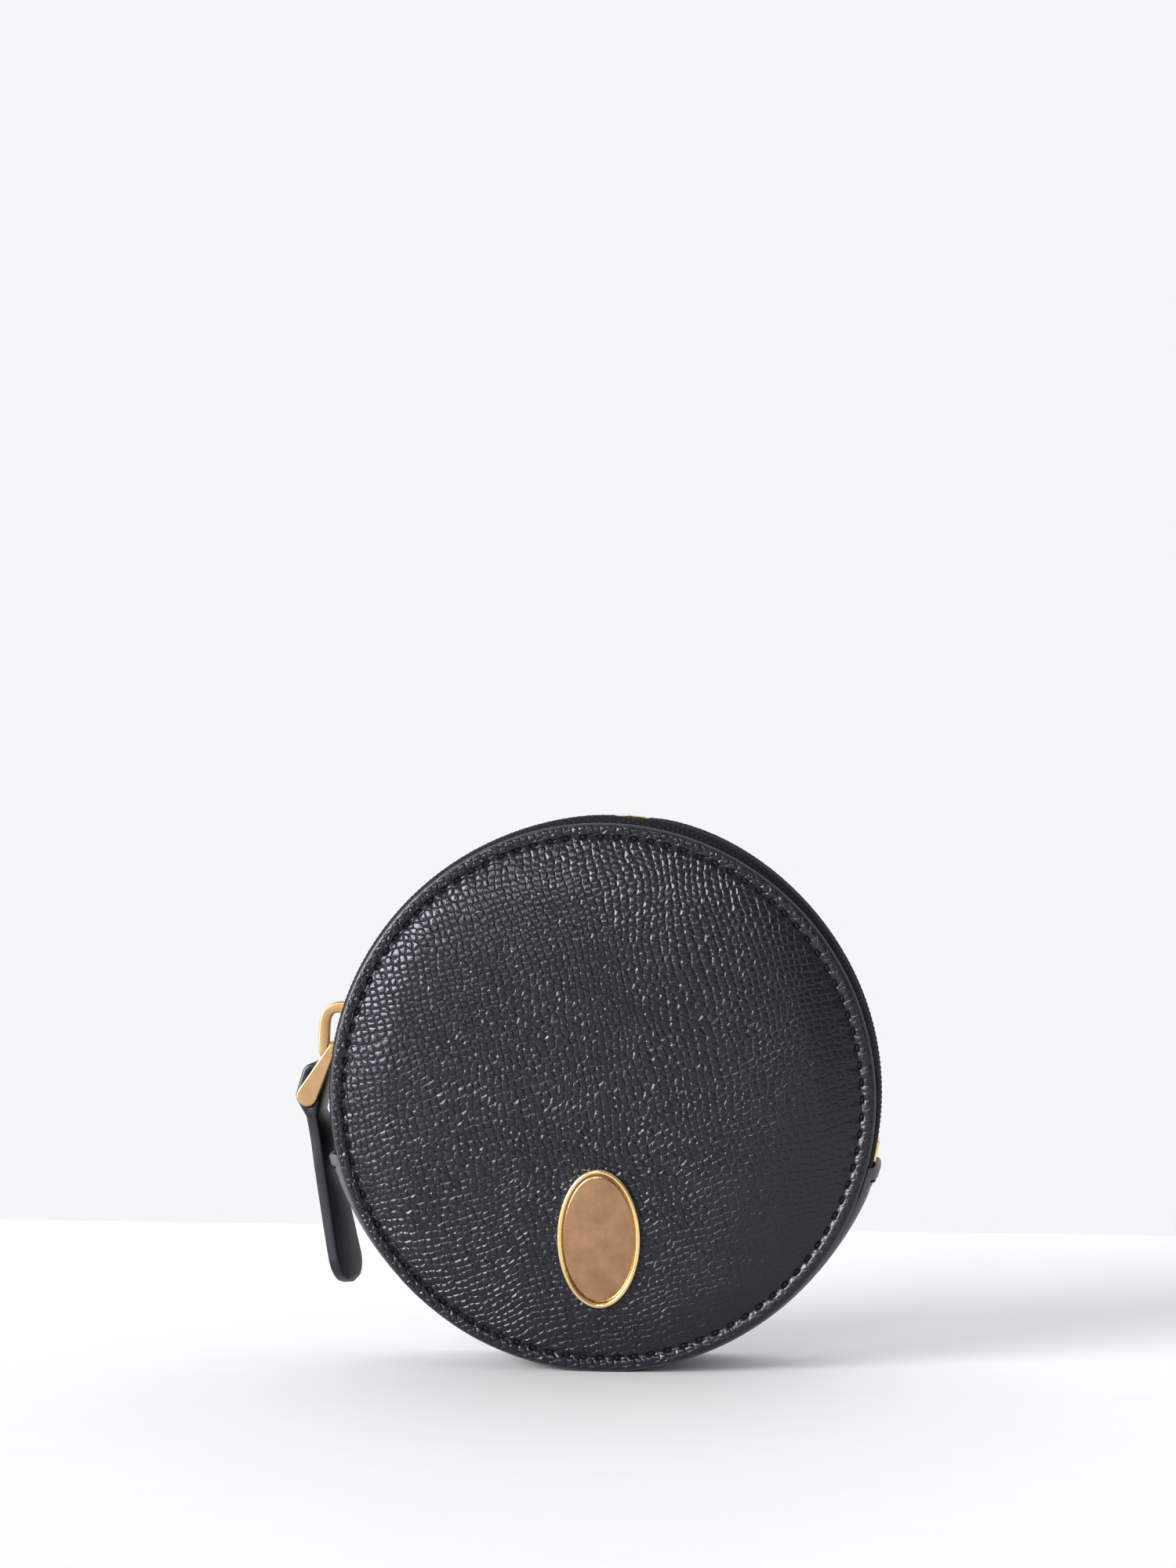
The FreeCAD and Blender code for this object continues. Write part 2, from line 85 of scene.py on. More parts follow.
# ---- sizes of the looks -------------------------------------------------------------
LEATHER_T = 1.3
PUFF_R = 47.2                 # where the padded dome comes down to the stitches
STITCH_R = 47.5
STITCHES = 96
THREAD_R = 0.3
GROOVE_DEPTH = 0.09
GROOVE_HALF = 0.32
HOLE_DEPTH = 0.42
EDGE_ROUND = 0.55
PEBBLE = (1.38, 1.24)         # grain pitch along and across its rows
GRAIN_TILT = 14.0             # degrees, rows rise to the right
GRAIN_HEIGHT = 0.075
GRAIN_RANDOM = 0.48
GRAIN_FADE = 0.75             # the grain is stretched flatter towards the lower right
FACE_CELLS = 308              # cells across a leather face
CLOTH_STEP = 4                # the cloth simulation's grid is this much coarser
CLOTH_SCALE = 20              # and this many times larger than life
CLOTH_REACH = 0.55            # most that the simulation may move a point
CLOTH_PRESSURE = 4
CLOTH_FRAMES = 20
TAPE_FROM, TAPE_TO = -19.3, 199.3
TAPE_T = 0.5
TAPE_MID_R = TAPE_OUT - TAPE_T / 2
TOOTH_PITCH = 2.2
TOOTH_HALF_H = 0.5
TEETH_FROM, TEETH_TO = -8.4, 170.4
SLIDER_AT = 167.5
BOTTOM_STOP = (-14.2, -9.2)
TOP_STOPS = (174.6, 176.9)
STOP_REACH, STOP_GAP = 2.9, 0.25
GUSSET_T = 0.9
GUSSET_FROM, GUSSET_TO = 199.6, 340.4
GUSSET_R = 50.3               # the gusset's outer face, low down
CUFF_OUT = 52.3               # and at its folded ends
CUFFS = (193.0, 345.4)
CUFF_SEAM = 2.45              # degrees from a folded end to its row of stitches


# ---- mesh helpers -------------------------------------------------------------------
def new_object(name, verts, faces, materials, smooth=True):
    """Mesh object from points in millimetres."""
    mesh = bpy.data.meshes.new(name)
    mesh.from_pydata((np.asarray(verts) * MM).tolist(), [], faces)
    mesh.validate()
    mesh.update()
    if smooth:
        mesh.shade_smooth()
    for m in materials:
        mesh.materials.append(m)
    obj = bpy.data.objects.new(name, mesh)
    bpy.context.scene.collection.objects.link(obj)
    return obj


def grid_faces(rows, columns, wrap_rows=False, wrap_columns=False, offset=0):
    """Quads of a rows by columns array of points."""
    i = np.arange(rows if wrap_rows else rows - 1)
    j = np.arange(columns if wrap_columns else columns - 1)
    a, b = np.meshgrid(i, j, indexing="ij")
    a2, b2 = (a + 1) % rows, (b + 1) % columns
    quads = np.stack([a * columns + b, a2 * columns + b, a2 * columns + b2, a * columns + b2], -1)
    return (quads.reshape(-1, 4) + offset).tolist()


def outward(obj):
    """Makes the faces' normals agree and point out."""
    bm = bmesh.new()
    bm.from_mesh(obj.data)
    bmesh.ops.recalc_face_normals(bm, faces=bm.faces)
    bm.to_mesh(obj.data)
    bm.free()
    return obj


def loft(name, rings, materials, cap=True, wrap=False):
    """Closed tube through rings of points, each the same length."""
    rings = np.asarray(rings, float)
    rows, columns = rings.shape[:2]
    faces = grid_faces(rows, columns, wrap_rows=wrap, wrap_columns=True)
    if cap and not wrap:
        faces.append(list(range(columns)))
        faces.append(list(range((rows - 1) * columns, rows * columns)))
    return outward(new_object(name, rings.reshape(-1, 3), faces, materials))


def join(name, objs):
    """One object from several, keeping their material slots."""
    with bpy.context.temp_override(
        active_object=objs[0], selected_objects=objs, selected_editable_objects=objs
    ):
        bpy.ops.object.join()
    objs[0].name = name
    objs[0].data.name = name
    return objs[0]


def bevel(obj, width, segments=2, angle=30):
    modifier = obj.modifiers.new("bevel", "BEVEL")
    modifier.width = width * MM
    modifier.segments = segments
    modifier.limit_method = "ANGLE"
    modifier.angle_limit = math.radians(angle)
    modifier.harden_normals = False
    return obj


def flat_bevel(obj, width, angle):
    """Flat faces with rounded edges between them."""
    for polygon in obj.data.polygons:
        polygon.use_smooth = False
    return apply_modifiers(bevel(obj, width, 3, angle))


def apply_modifiers(obj):
    graph = bpy.context.evaluated_depsgraph_get()
    mesh = bpy.data.meshes.new_from_object(obj.evaluated_get(graph))
    obj.modifiers.clear()
    obj.data = mesh
    return obj


def on_rim(angle, radius, y):
    """Point at an angle in degrees and a radius from the discs' axis."""
    a = np.radians(angle)
    return np.stack([radius * np.cos(a), y + 0 * a, CENTRE_Z + radius * np.sin(a)], -1)


def circle(sides):
    """Points round a circle of radius 1 in a plane."""
    turn = np.arange(sides) * math.tau / sides
    return np.stack([np.cos(turn), np.sin(turn)], 1)


def smoothstep(t):
    t = np.clip(t, 0, 1)
    return t * t * (3 - 2 * t)


def soft_noise(x, z, size, seed, octaves=2):
    """Smooth noise from -1 to 1 over a plane, the same each run."""
    total = np.zeros(np.broadcast(x, z).shape)
    gain = 1.0
    for octave in range(octaves):
        table = np.random.default_rng(seed + octave).uniform(-1, 1, (64, 64))
        u, v = x / size * 2 ** octave + 500.5, z / size * 2 ** octave + 500.5
        iu, iv = np.floor(u).astype(int), np.floor(v).astype(int)
        fu, fv = smoothstep(u - iu), smoothstep(v - iv)
        a = table[iu % 64, iv % 64] * (1 - fu) + table[(iu + 1) % 64, iv % 64] * fu
        b = table[iu % 64, (iv + 1) % 64] * (1 - fu) + table[(iu + 1) % 64, (iv + 1) % 64] * fu
        total += gain * (a * (1 - fv) + b * fv)
        gain *= 0.5
    return total


# ---- node materials -----------------------------------------------------------------
COOL_TINT = (0.87, 0.89, 1.0, 1)
GRAIN_TINT = (0.86, 0.87, 1.0, 1)
CLOTH_TINT = (0.88, 0.9, 1.0, 1)


def material(name, color, roughness, **sockets):
    """New Principled material: constant colours and numbers set on its own sockets."""
    mat = bpy.data.materials.new(name)
    mat.use_nodes = True
    shader = mat.node_tree.nodes["Principled BSDF"]
    shader.inputs["Base Color"].default_value = (*color, 1)
    shader.inputs["Roughness"].default_value = roughness
    for key, value in sockets.items():
        shader.inputs[key.replace("_", " ")].default_value = value
    return mat


def node(owner, kind, settings=None, **inputs):
    """Adds a node; inputs are numbers or (node, output name) links."""
    tree = getattr(owner, "node_tree", owner)
    made = tree.nodes.new(kind)
    for key, value in (settings or {}).items():
        setattr(made, key, value)
    for key, value in inputs.items():
        socket = made.inputs[int(key[1:])] if key[0] == "i" and key[1:].isdigit() else made.inputs[key]
        if isinstance(value, tuple) and isinstance(value[0], bpy.types.Node):
            tree.links.new(value[0].outputs[value[1]], socket)
        else:
            socket.default_value = value
    return made


def remap(owner, source, output, start=(0, 1), end=(0, 1), smooth=False):
    """Carries a value from one range over to another."""
    kind = {"interpolation_type": "SMOOTHSTEP" if smooth else "LINEAR"}
    limits = {"From Min": start[0], "From Max": start[1], "To Min": end[0], "To Max": end[1]}
    return node(owner, "ShaderNodeMapRange", kind, Value=(source, output), **limits)


def combine(owner, operation, a, b):
    """Adds or multiplies two values."""
    return node(owner, "ShaderNodeMath", {"operation": operation}, i0=a, i1=b)


def stripes(mat, where, output, **inputs):
    """Slanting bands, for the threads of cloth and cord."""
    settings = {"bands_direction": "DIAGONAL"}
    return node(mat, "ShaderNodeTexWave", settings, Vector=(where, output), **inputs)


def link(mat, source, output, socket):
    shader = mat.node_tree.nodes["Principled BSDF"]
    mat.node_tree.links.new(source.outputs[output], shader.inputs[socket])


def link_bump(mat, bump):
    link(mat, bump, "Normal", "Normal")
    return mat


def ramp(mat, source, output, low, high):
    """Colour or grey between two values as a factor goes from 0 to 1."""
    made = node(mat, "ShaderNodeValToRGB", Fac=(source, output))
    for stop, value in zip(made.color_ramp.elements, (low, high)):
        grey = (value, value, value) if isinstance(value, float) else value
        stop.color = (*grey, 1)
    return made


def shade(mat, source, output, low, high):
    """Base colour between two colours as a factor goes from 0 to 1."""
    link(mat, ramp(mat, source, output, low, high), "Color", "Base Color")


def noise(mat, scale, detail=3.0, stretch=(1, 1, 1), roughness=0.55):
    """Noise over object space, scale in cells per metre."""
    where = node(mat, "ShaderNodeTexCoord")
    spread = node(mat, "ShaderNodeMapping", Vector=(where, "Object"), Scale=stretch)
    return node(
        mat, "ShaderNodeTexNoise", Vector=(spread, "Vector"),
        Scale=scale, Detail=detail, Roughness=roughness,
    )


def add_bump(mat, height, output, strength, distance, under=None):
    inputs = {"Height": (height, output), "Strength": strength, "Distance": distance}
    if under is not None:
        inputs["Normal"] = (under, "Normal")
    return node(mat, "ShaderNodeBump", **inputs)


def pebbles(owner, source, output):
    """Cells of the embossed grain: how far a point is from the nearest crease."""
    return node(
        owner, "ShaderNodeTexVoronoi",
        {"feature": "DISTANCE_TO_EDGE", "voronoi_dimensions": "2D"},
        Vector=(source, output), Scale=1, Randomness=GRAIN_RANDOM,
    )


def grained_leather():
    """Black embossed leather: thin creases darkened by painted shade, glossy bluish pebbles, fine
    wrinkles.
    """
    mat = material("grained_leather", (0.0062, 0.0065, 0.0105), 0.3,
                   Specular_IOR_Level=0.46, Specular_Tint=GRAIN_TINT)
    where = node(mat, "ShaderNodeAttribute", {"attribute_name": "grain_at"})
    flat = node(mat, "ShaderNodeAttribute", {"attribute_name": "grain_flat"})
    cells = pebbles(mat, where, "Vector")
    uneven = noise(mat, 760, 2)
    width = remap(mat, uneven, "Fac", (0.32, 0.68), (0.09, 0.32))
    shoulder = remap(mat, cells, "Distance", (0, (width, "Result")))
    crease = remap(mat, cells, "Distance", (0.01, 0.06), smooth=True)
    tone = noise(mat, 90, 3)
    blue = ramp(mat, tone, "Fac", (0.0034, 0.0035, 0.0058), (0.0054, 0.0056, 0.0088))
    # Painted shade: the base colour goes near black in the creases, standing in for the shade that
    # falls in them.
    crease_painted_shade = node(
        mat, "ShaderNodeMix", {"data_type": "RGBA"},
        Factor=(crease, "Result"), i6=(0.0015, 0.0015, 0.002, 1), i7=(blue, "Color"),
    )
    link(mat, crease_painted_shade, 2, "Base Color")
    patches = noise(mat, 700, 2)
    glossy = remap(mat, patches, "Fac", end=(0.31, 0.17))
    rough = node(
        mat, "ShaderNodeMix", {"data_type": "FLOAT"},
        Factor=(crease, "Result"), i2=0.6, i3=(glossy, "Result"),
    )
    link(mat, rough, 0, "Roughness")
    wrinkles = noise(mat, 1300, 3, roughness=0.6)
    first = add_bump(mat, wrinkles, "Fac", 0.6, 0.00014)
    slope = combine(mat, "MULTIPLY", (shoulder, "Result"), (flat, "Fac"))
    return link_bump(mat, add_bump(mat, slope, "Value", 1.0, 0.00013, first))


def plain_leather(name, color, roughness):
    """Smooth black leather with a faint hair-cell grain and worn tone."""
    mat = material(name, color, roughness, Specular_Tint=COOL_TINT)
    tone = noise(mat, 120, 3)
    shade(mat, tone, "Fac", tuple(c * 0.75 for c in color), tuple(c * 1.3 for c in color))
    cells = node(
        mat, "ShaderNodeTexVoronoi", {"feature": "DISTANCE_TO_EDGE"},
        Vector=(node(mat, "ShaderNodeTexCoord"), "Object"), Scale=1500,
    )
    edge = remap(mat, cells, "Distance", (0, 0.12))
    first = add_bump(mat, edge, "Result", 0.18, 0.00006)
    wave = noise(mat, 420, 3)
    return link_bump(mat, add_bump(mat, wave, "Fac", 0.25, 0.0002, first))


def edge_paint(name, low, high):
    """Painted, burnished leather edge."""
    mat = material(name, high, 0.36, Specular_Tint=COOL_TINT)
    wear = noise(mat, 600, 3)
    shade(mat, wear, "Fac", low, high)
    return link_bump(mat, add_bump(mat, wear, "Fac", 0.3, 0.0001))


def woven(name, color, roughness, scale, sheen):
    """Woven cloth: two crossed sets of threads in object space."""
    mat = material(name, color, roughness, Sheen_Weight=sheen, Sheen_Roughness=0.4,
                   Specular_IOR_Level=0.22, Specular_Tint=CLOTH_TINT)
    where = node(mat, "ShaderNodeTexCoord")
    flipped = node(mat, "ShaderNodeMapping", Vector=(where, "Object"), Scale=(-1, 1, 1))
    warp = stripes(mat, where, "Object", Scale=scale, Distortion=1.2, Detail=1.0)
    weft = stripes(mat, flipped, "Vector", Scale=scale, Distortion=1.2, Detail=1.0)
    both = combine(mat, "MULTIPLY", (warp, "Fac"), (weft, "Fac"))
    shade(mat, both, "Value", tuple(c * 0.35 for c in color), tuple(c * 2 for c in color))
    return link_bump(mat, add_bump(mat, both, "Value", 0.6, 0.00015))


def metal(name, low, high, roughness, scratch, stretch=(1, 1, 1)):
    """Metal with uneven tone, fine scratches and roughness that varies."""
    mat = material(name, high, roughness, Metallic=1.0)
    tone = noise(mat, 260, 3)
    shade(mat, tone, "Fac", low, high)
    lines = noise(mat, 900, 4, stretch)
    rough = remap(mat, lines, "Fac", end=(roughness * 0.75, roughness * 1.35))
    link(mat, rough, "Result", "Roughness")
    return link_bump(mat, add_bump(mat, lines, "Fac", scratch, 0.00004))


def thread_material():
    """Waxed thread: a twist of two strands shown by diagonal bands."""
    mat = material("thread", (0.002, 0.002, 0.0025), 0.65, Specular_IOR_Level=0.25)
    where = node(mat, "ShaderNodeTexCoord")
    twist = stripes(mat, where, "Object", Scale=900, Distortion=0.5)
    shade(mat, twist, "Fac", (0.001, 0.001, 0.0012), (0.004, 0.004, 0.005))
    return link_bump(mat, add_bump(mat, twist, "Fac", 0.5, 0.00008))


def foam():
    mat = material("padding", (0.1, 0.1, 0.1), 0.9)
    cells = noise(mat, 1400, 3)
    shade(mat, cells, "Fac", (0.06, 0.06, 0.06), (0.14, 0.14, 0.14))
    return link_bump(mat, add_bump(mat, cells, "Fac", 0.6, 0.0003))


GRAINED = grained_leather()
PLAIN = plain_leather("plain_leather", (0.066, 0.068, 0.075), 0.52)
TAB_LEATHER = plain_leather("tab_leather", (0.0048, 0.005, 0.007), 0.42)
EDGE = edge_paint("edge_paint", (0.012, 0.0122, 0.015), (0.032, 0.033, 0.038))
TAB_EDGE = edge_paint("tab_edge_paint", (0.0035, 0.0037, 0.005), (0.0075, 0.0078, 0.01))
TAPE = woven("zip_tape", (0.0045, 0.0047, 0.0065), 0.7, 380, 0.0)
LINING = woven("lining", (0.02, 0.02, 0.024), 0.7, 900, 0.3)
THREAD = thread_material()
FOAM = foam()
ZIP_METAL = metal("zip_metal", (0.72, 0.5, 0.2), (0.9, 0.66, 0.3), 0.24, 0.1)
PULLER_METAL = metal("puller_metal", (0.38, 0.235, 0.115), (0.52, 0.34, 0.18), 0.36, 0.3, (1, 1, 0.2))
PLAQUE_GOLD = metal("plaque_gold", (0.86, 0.6, 0.26), (0.98, 0.76, 0.38), 0.16, 0.05)
# The rose field's darker olive tone is partly its own uneven tone and partly painted reflection: dark
# surroundings mirrored in patches.
PLAQUE_ROSE = metal("plaque_rose", (0.22, 0.155, 0.07), (0.58, 0.31, 0.185), 0.26, 0.3)


# ---- leather discs ------------------------------------------------------------------
def dome(radius, rim=RIM_Y, crest=CREST_Y, dome_r=PUFF_R):
    """Distance of a domed face from the middle of the purse: flat-topped, steep at its edge."""
    inside = np.clip(radius / dome_r, 0, 1)
    return rim + (crest - rim) * (1 - inside ** 2.7) ** 0.75


def grain_place(x, z, seed):
    """Grain coordinates, in pebbles, of points on a disc: tilted rows that wander a little."""
    tilt = math.radians(GRAIN_TILT)
    wx = x + 1.5 * soft_noise(x, z, 17, seed) + 0.25 * soft_noise(x, z, 5, seed + 9)
    wz = z + 1.5 * soft_noise(x, z, 17, seed + 20) + 0.25 * soft_noise(x, z, 5, seed + 29)
    u = (wx * math.cos(tilt) + wz * math.sin(tilt)) / PEBBLE[0]
    v = (wz * math.cos(tilt) - wx * math.sin(tilt)) / PEBBLE[1]
    return np.stack([u + seed, v + seed, np.zeros_like(u)], -1)


def stitch_holes(angle):
    """From 0 to 1, how close an angle in degrees is to a needle hole."""
    step = 360 / STITCHES
    away = np.abs((angle / step) % 1 - 0.5) * step
    along = np.radians(step / 2 - away) * STITCH_R
    return np.exp(-(along / 0.72) ** 4)


def leather_depth(x, z, seed, push=0.0):
    """Outer face of a leather disc before its grain: distance from the middle, and grain depth."""
    radius = np.hypot(x, z)
    angle = np.degrees(np.arctan2(z, x))
    across = (radius - STITCH_R) / GROOVE_HALF
    groove = np.exp(-across ** 2)
    lumps = 0.08 * soft_noise(x, z, 16, seed + 70, 3) * smoothstep((47 - radius) / 10)
    near_seam = np.exp(-((np.maximum(STITCH_R - radius, 0) - 0.9) / 1.1) ** 2)
    tucks = 0.1 * (0.5 - stitch_holes(angle)) * near_seam
    holes = stitch_holes(angle) * np.exp(-across ** 4)
    depth = dome(radius, crest=CREST_Y - CLOTH_REACH) + push + lumps + tucks
    depth = depth - GROOVE_DEPTH * groove - HOLE_DEPTH * holes
    fade = smoothstep(((0.8 * x - 0.2 * z) / PANEL_R - 0.15) / 0.5)
    return depth, (1 - 0.8 * groove) * (1 - GRAIN_FADE * fade)


def inflate(cells):
    """Cloth simulation of a leather disc pushed out by its padding and held by its stitches.

    Returns how far each point of disc_points moves outwards, in millimetres.
    """
    x, z = disc_points(cells, STITCH_R)
    start = dome(np.hypot(x, z), crest=CREST_Y - CLOTH_REACH)
    verts = np.stack([x, -start, z], -1).reshape(-1, 3) * CLOTH_SCALE
    cloth = new_object("cloth", verts, grid_faces(*x.shape), [])
    held = cloth.vertex_groups.new(name="held")
    ring = np.flatnonzero(np.hypot(x, z).ravel() > STITCH_R - 0.05)
    held.add(ring.tolist(), 1.0, "REPLACE")
    modifier = cloth.modifiers.new("cloth", "CLOTH")
    modifier.settings.quality = 6
    modifier.settings.mass = 0.4
    modifier.settings.vertex_group_mass = "held"
    modifier.settings.use_pressure = True
    modifier.settings.uniform_pressure_force = CLOTH_PRESSURE
    modifier.settings.effector_weights.gravity = 0
    modifier.point_cache.frame_end = CLOTH_FRAMES
    face_out(cloth, -1)
    for frame_number in range(1, CLOTH_FRAMES + 1):
        bpy.context.scene.frame_set(frame_number)
    graph = bpy.context.evaluated_depsgraph_get()
    mesh = cloth.evaluated_get(graph).to_mesh()
    moved = np.empty(len(mesh.vertices) * 3)
    mesh.vertices.foreach_get("co", moved)
    out = -moved.reshape(-1, 3)[:, 1] / MM / CLOTH_SCALE - start.ravel()
    bpy.data.objects.remove(cloth)
    bpy.context.scene.frame_set(1)
    return np.clip(out, 0, CLOTH_REACH).reshape(x.shape)


def finer(field, factor):
    """A square grid of values on a grid that is finer by a whole factor, smoothed."""
    n = field.shape[0]
    old, new = np.arange(n), np.linspace(0, n - 1, (n - 1) * factor + 1)
    field = np.array([np.interp(new, old, row) for row in field])
    field = np.array([np.interp(new, old, row) for row in field.T]).T
    for _ in range(2 * factor):
        inner = field[1:-1] / 2 + (field[:-2] + field[2:]) / 4
        field = np.vstack([field[:1], inner, field[-1:]])
        inner = field[:, 1:-1] / 2 + (field[:, :-2] + field[:, 2:]) / 4
        field = np.hstack([field[:, :1], inner, field[:, -1:]])
    return field


def disc_points(cells, radius):
    """Even grid of points over a disc; its outermost points lie on the circle."""
    side = np.linspace(-1, 1, cells + 1)
    a, b = np.meshgrid(side, side, indexing="ij")
    wide = np.abs(a) > np.abs(b)
    r = np.where(wide, a, b)
    safe = np.where(np.abs(r) < 1e-9, 1, r)
    turn = np.where(wide, math.pi / 4 * b / safe, math.pi / 2 - math.pi / 4 * a / safe)
    return radius * r * np.cos(turn), radius * r * np.sin(turn)


def set_attribute(obj, name, kind, values):
    attribute = obj.data.attributes.new(name, kind, "POINT")
    key = "vector" if kind == "FLOAT_VECTOR" else "value"
    attribute.data.foreach_set(key, np.asarray(values, np.float32).ravel())


def emboss(obj):
    """Raises the mesh's pebbles, from the same cells that the leather's material draws."""
    tree = bpy.data.node_groups.new("emboss", "GeometryNodeTree")
    tree.interface.new_socket("Geometry", in_out="INPUT", socket_type="NodeSocketGeometry")
    tree.interface.new_socket("Geometry", in_out="OUTPUT", socket_type="NodeSocketGeometry")
    start, end = tree.nodes.new("NodeGroupInput"), tree.nodes.new("NodeGroupOutput")
    read = "GeometryNodeInputNamedAttribute"
    where = node(tree, read, {"data_type": "FLOAT_VECTOR"}, Name="grain_at")
    flat = node(tree, read, {"data_type": "FLOAT"}, Name="grain_flat")
    cells = pebbles(tree, where, "Attribute")
    rise = remap(tree, cells, "Distance", (0, 0.36), (0, GRAIN_HEIGHT * MM), smooth=True)
    lift = combine(tree, "MULTIPLY", (rise, "Result"), (flat, "Attribute"))
    normal = tree.nodes.new("GeometryNodeInputNormal")
    offset = node(tree, "ShaderNodeVectorMath", {"operation": "SCALE"}, i0=(normal, "Normal"))
    tree.links.new(lift.outputs["Value"], offset.inputs["Scale"])
    move = node(tree, "GeometryNodeSetPosition", Offset=(offset, "Vector"))
    tree.links.new(start.outputs[0], move.inputs["Geometry"])
    tree.links.new(move.outputs["Geometry"], end.inputs[0])
    modifier = obj.modifiers.new("emboss", "NODES")
    modifier.node_group = tree
    return apply_modifiers(obj)


def leather_face(name, side, seed, push):
    """The padded face of a leather disc, out to the bottom of its stitch groove."""
    x, z = disc_points(FACE_CELLS, STITCH_R)
    depth, flat = leather_depth(x, z, seed, push)
    verts = np.stack([x, side * depth, CENTRE_Z + z], -1).reshape(-1, 3)
    obj = new_object(name, verts, grid_faces(*x.shape), [GRAINED])
    set_attribute(obj, "grain_at", "FLOAT_VECTOR", grain_place(x, z, seed))
    set_attribute(obj, "grain_flat", "FLOAT", flat)
    return emboss(face_out(obj, side))


def face_out(obj, side):
    """Flips a single-sided sheet so that it faces away from the middle."""
    normal = sum((p.normal.y * p.area for p in obj.data.polygons))
    if normal * side < 0:
        obj.data.flip_normals()
    return obj


def leather_rim(name, side, seed):
    """The sewn rim outside the groove, its painted edge and the back of the leather."""
    turns = 4 * FACE_CELLS
    angle = np.arange(turns) * 360 / turns + 45
    top = np.linspace(STITCH_R, PANEL_R - EDGE_ROUND, 12)
    radii = np.broadcast_to(top[:, None], (len(top), turns))
    x = radii * np.cos(np.radians(angle))
    z = radii * np.sin(np.radians(angle))
    depth, flat = leather_depth(x, z, seed)
    swell = 0.22 * np.sin(math.pi * np.clip((radii - STITCH_R) / (PANEL_R - STITCH_R), 0, 1)) ** 1.5
    depth = depth + swell
    around = np.radians(angle)
    wobble = 0.04 * soft_noise(PANEL_R * np.cos(around), PANEL_R * np.sin(around), 9, seed + 3)
    rings = [np.stack([x, side * depth, CENTRE_Z + z], -1)]
    back = RIM_Y - LEATHER_T
    rounded = [math.radians(b) for b in (18, 36, 54, 72, 90)]
    drop = [
        (PANEL_R - EDGE_ROUND * (1 - math.sin(b)), EDGE_ROUND * (1 - math.cos(b))) for b in rounded
    ]
    for r, down in drop:
        rings.append(on_rim(angle, r + wobble, side * (depth[-1] - down))[None])
    for r, y in ((PANEL_R, back + 0.25), (PANEL_R - 0.2, back), (STITCH_R - 3, back)):
        rings.append(on_rim(angle, r + wobble, side * (y + 0 * angle))[None])
    points = np.concatenate(rings, 0)
    obj = new_object(
        name, points.reshape(-1, 3), grid_faces(len(points), turns, wrap_columns=True),
        [GRAINED, EDGE],
    )
    px, pz = points[..., 0], points[..., 2] - CENTRE_Z
    set_attribute(obj, "grain_at", "FLOAT_VECTOR", grain_place(px, pz, seed))
    smooth_edge = np.zeros(points.shape[:2])
    smooth_edge[:len(top)] = flat
    smooth_edge[len(top) - 1] = 0.3
    set_attribute(obj, "grain_flat", "FLOAT", smooth_edge)
    for polygon in obj.data.polygons:
        if polygon.vertices[0] >= len(top) * turns:
            polygon.material_index = 1
    if obj.data.polygons[0].normal.y * side < 0:
        obj.data.flip_normals()
    return emboss(obj)


AROUND_THREAD = np.arange(8) * math.tau / 8


def threads(name, tubes):
    """One object of short open-ended tubes, each a rows by 8 array of points."""
    rows = len(tubes[0])
    faces = []
    for i in range(len(tubes)):
        faces += grid_faces(rows, 8, wrap_columns=True, offset=i * rows * 8)
    points = np.concatenate([tube.reshape(-1, 3) for tube in tubes])
    return outward(new_object(name, points, faces, [THREAD]))


def stitching(name, side):
    """Thread over each stretch between two needle holes, its ends dipping into them."""
    step = 360 / STITCHES
    tubes = []
    along = np.linspace(-1, 1, 13)
    for i in range(STITCHES):
        angle = i * step + along * step * 0.2
        arch = 1 - np.abs(along) ** 3
        lift = RIM_Y - GROOVE_DEPTH - 0.62 + 0.36 * arch
        slant = STITCH_R + 0.1 * along + 0.03 * math.sin(i * 2.4)
        tubes.append(np.stack([
            on_rim(angle, slant + THREAD_R * math.cos(t), side * (lift + THREAD_R * math.sin(t)))
            for t in AROUND_THREAD
        ], 1))
    return threads(name, tubes)


# ---- inner layers -------------------------------------------------------------------
def layer_disc(name, side, outer, inner, radius, mat, cells=90):
    """Closed domed disc between two depth functions of the radius."""
    x, z = disc_points(cells, radius)
    r = np.hypot(x, z)
    front = np.stack([x, side * outer(r), CENTRE_Z + z], -1)
    back = np.stack([x, side * inner(r), CENTRE_Z + z], -1)
    n = cells + 1
    edge = [(i, 0) for i in range(cells)] + [(cells, j) for j in range(cells)]
    edge += [(i, cells) for i in range(cells, 0, -1)] + [(0, j) for j in range(cells, 0, -1)]
    loop = [i * n + j for i, j in edge]
    faces = grid_faces(n, n) + grid_faces(n, n, offset=n * n)
    for k, a in enumerate(loop):
        b = loop[(k + 1) % len(loop)]
        faces.append([a, b, b + n * n, a + n * n])
    verts = np.concatenate([front.reshape(-1, 3), back.reshape(-1, 3)])
    return outward(new_object(name, verts, faces, [mat]))


def pad_back(r):
    return dome(r, BAND_HALF - 0.5, BAND_HALF + 1.8, 44.8)


def padding(name, side):
    return layer_disc(
        name, side, lambda r: dome(r) - LEATHER_T - 0.35, lambda r: pad_back(r) + 0.05, 44.2, FOAM
    )


def lining(name, side):
    return layer_disc(name, side, pad_back, lambda r: pad_back(r) - 0.4, LINING_R, LINING, 120)


# ---- pieces on the front and back ---------------------------------------------------
def place(obj, slot, *nodes, body="purse", bends=False):
    """Says what CAD nodes a piece stands for and how it moves; slot is not used."""
    if nodes:
        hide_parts(*nodes)
    if bends:                 # a piece on the flap, above the fold: its transform is baked and it gets no body
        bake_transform(obj)
    else:
        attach(obj, body)


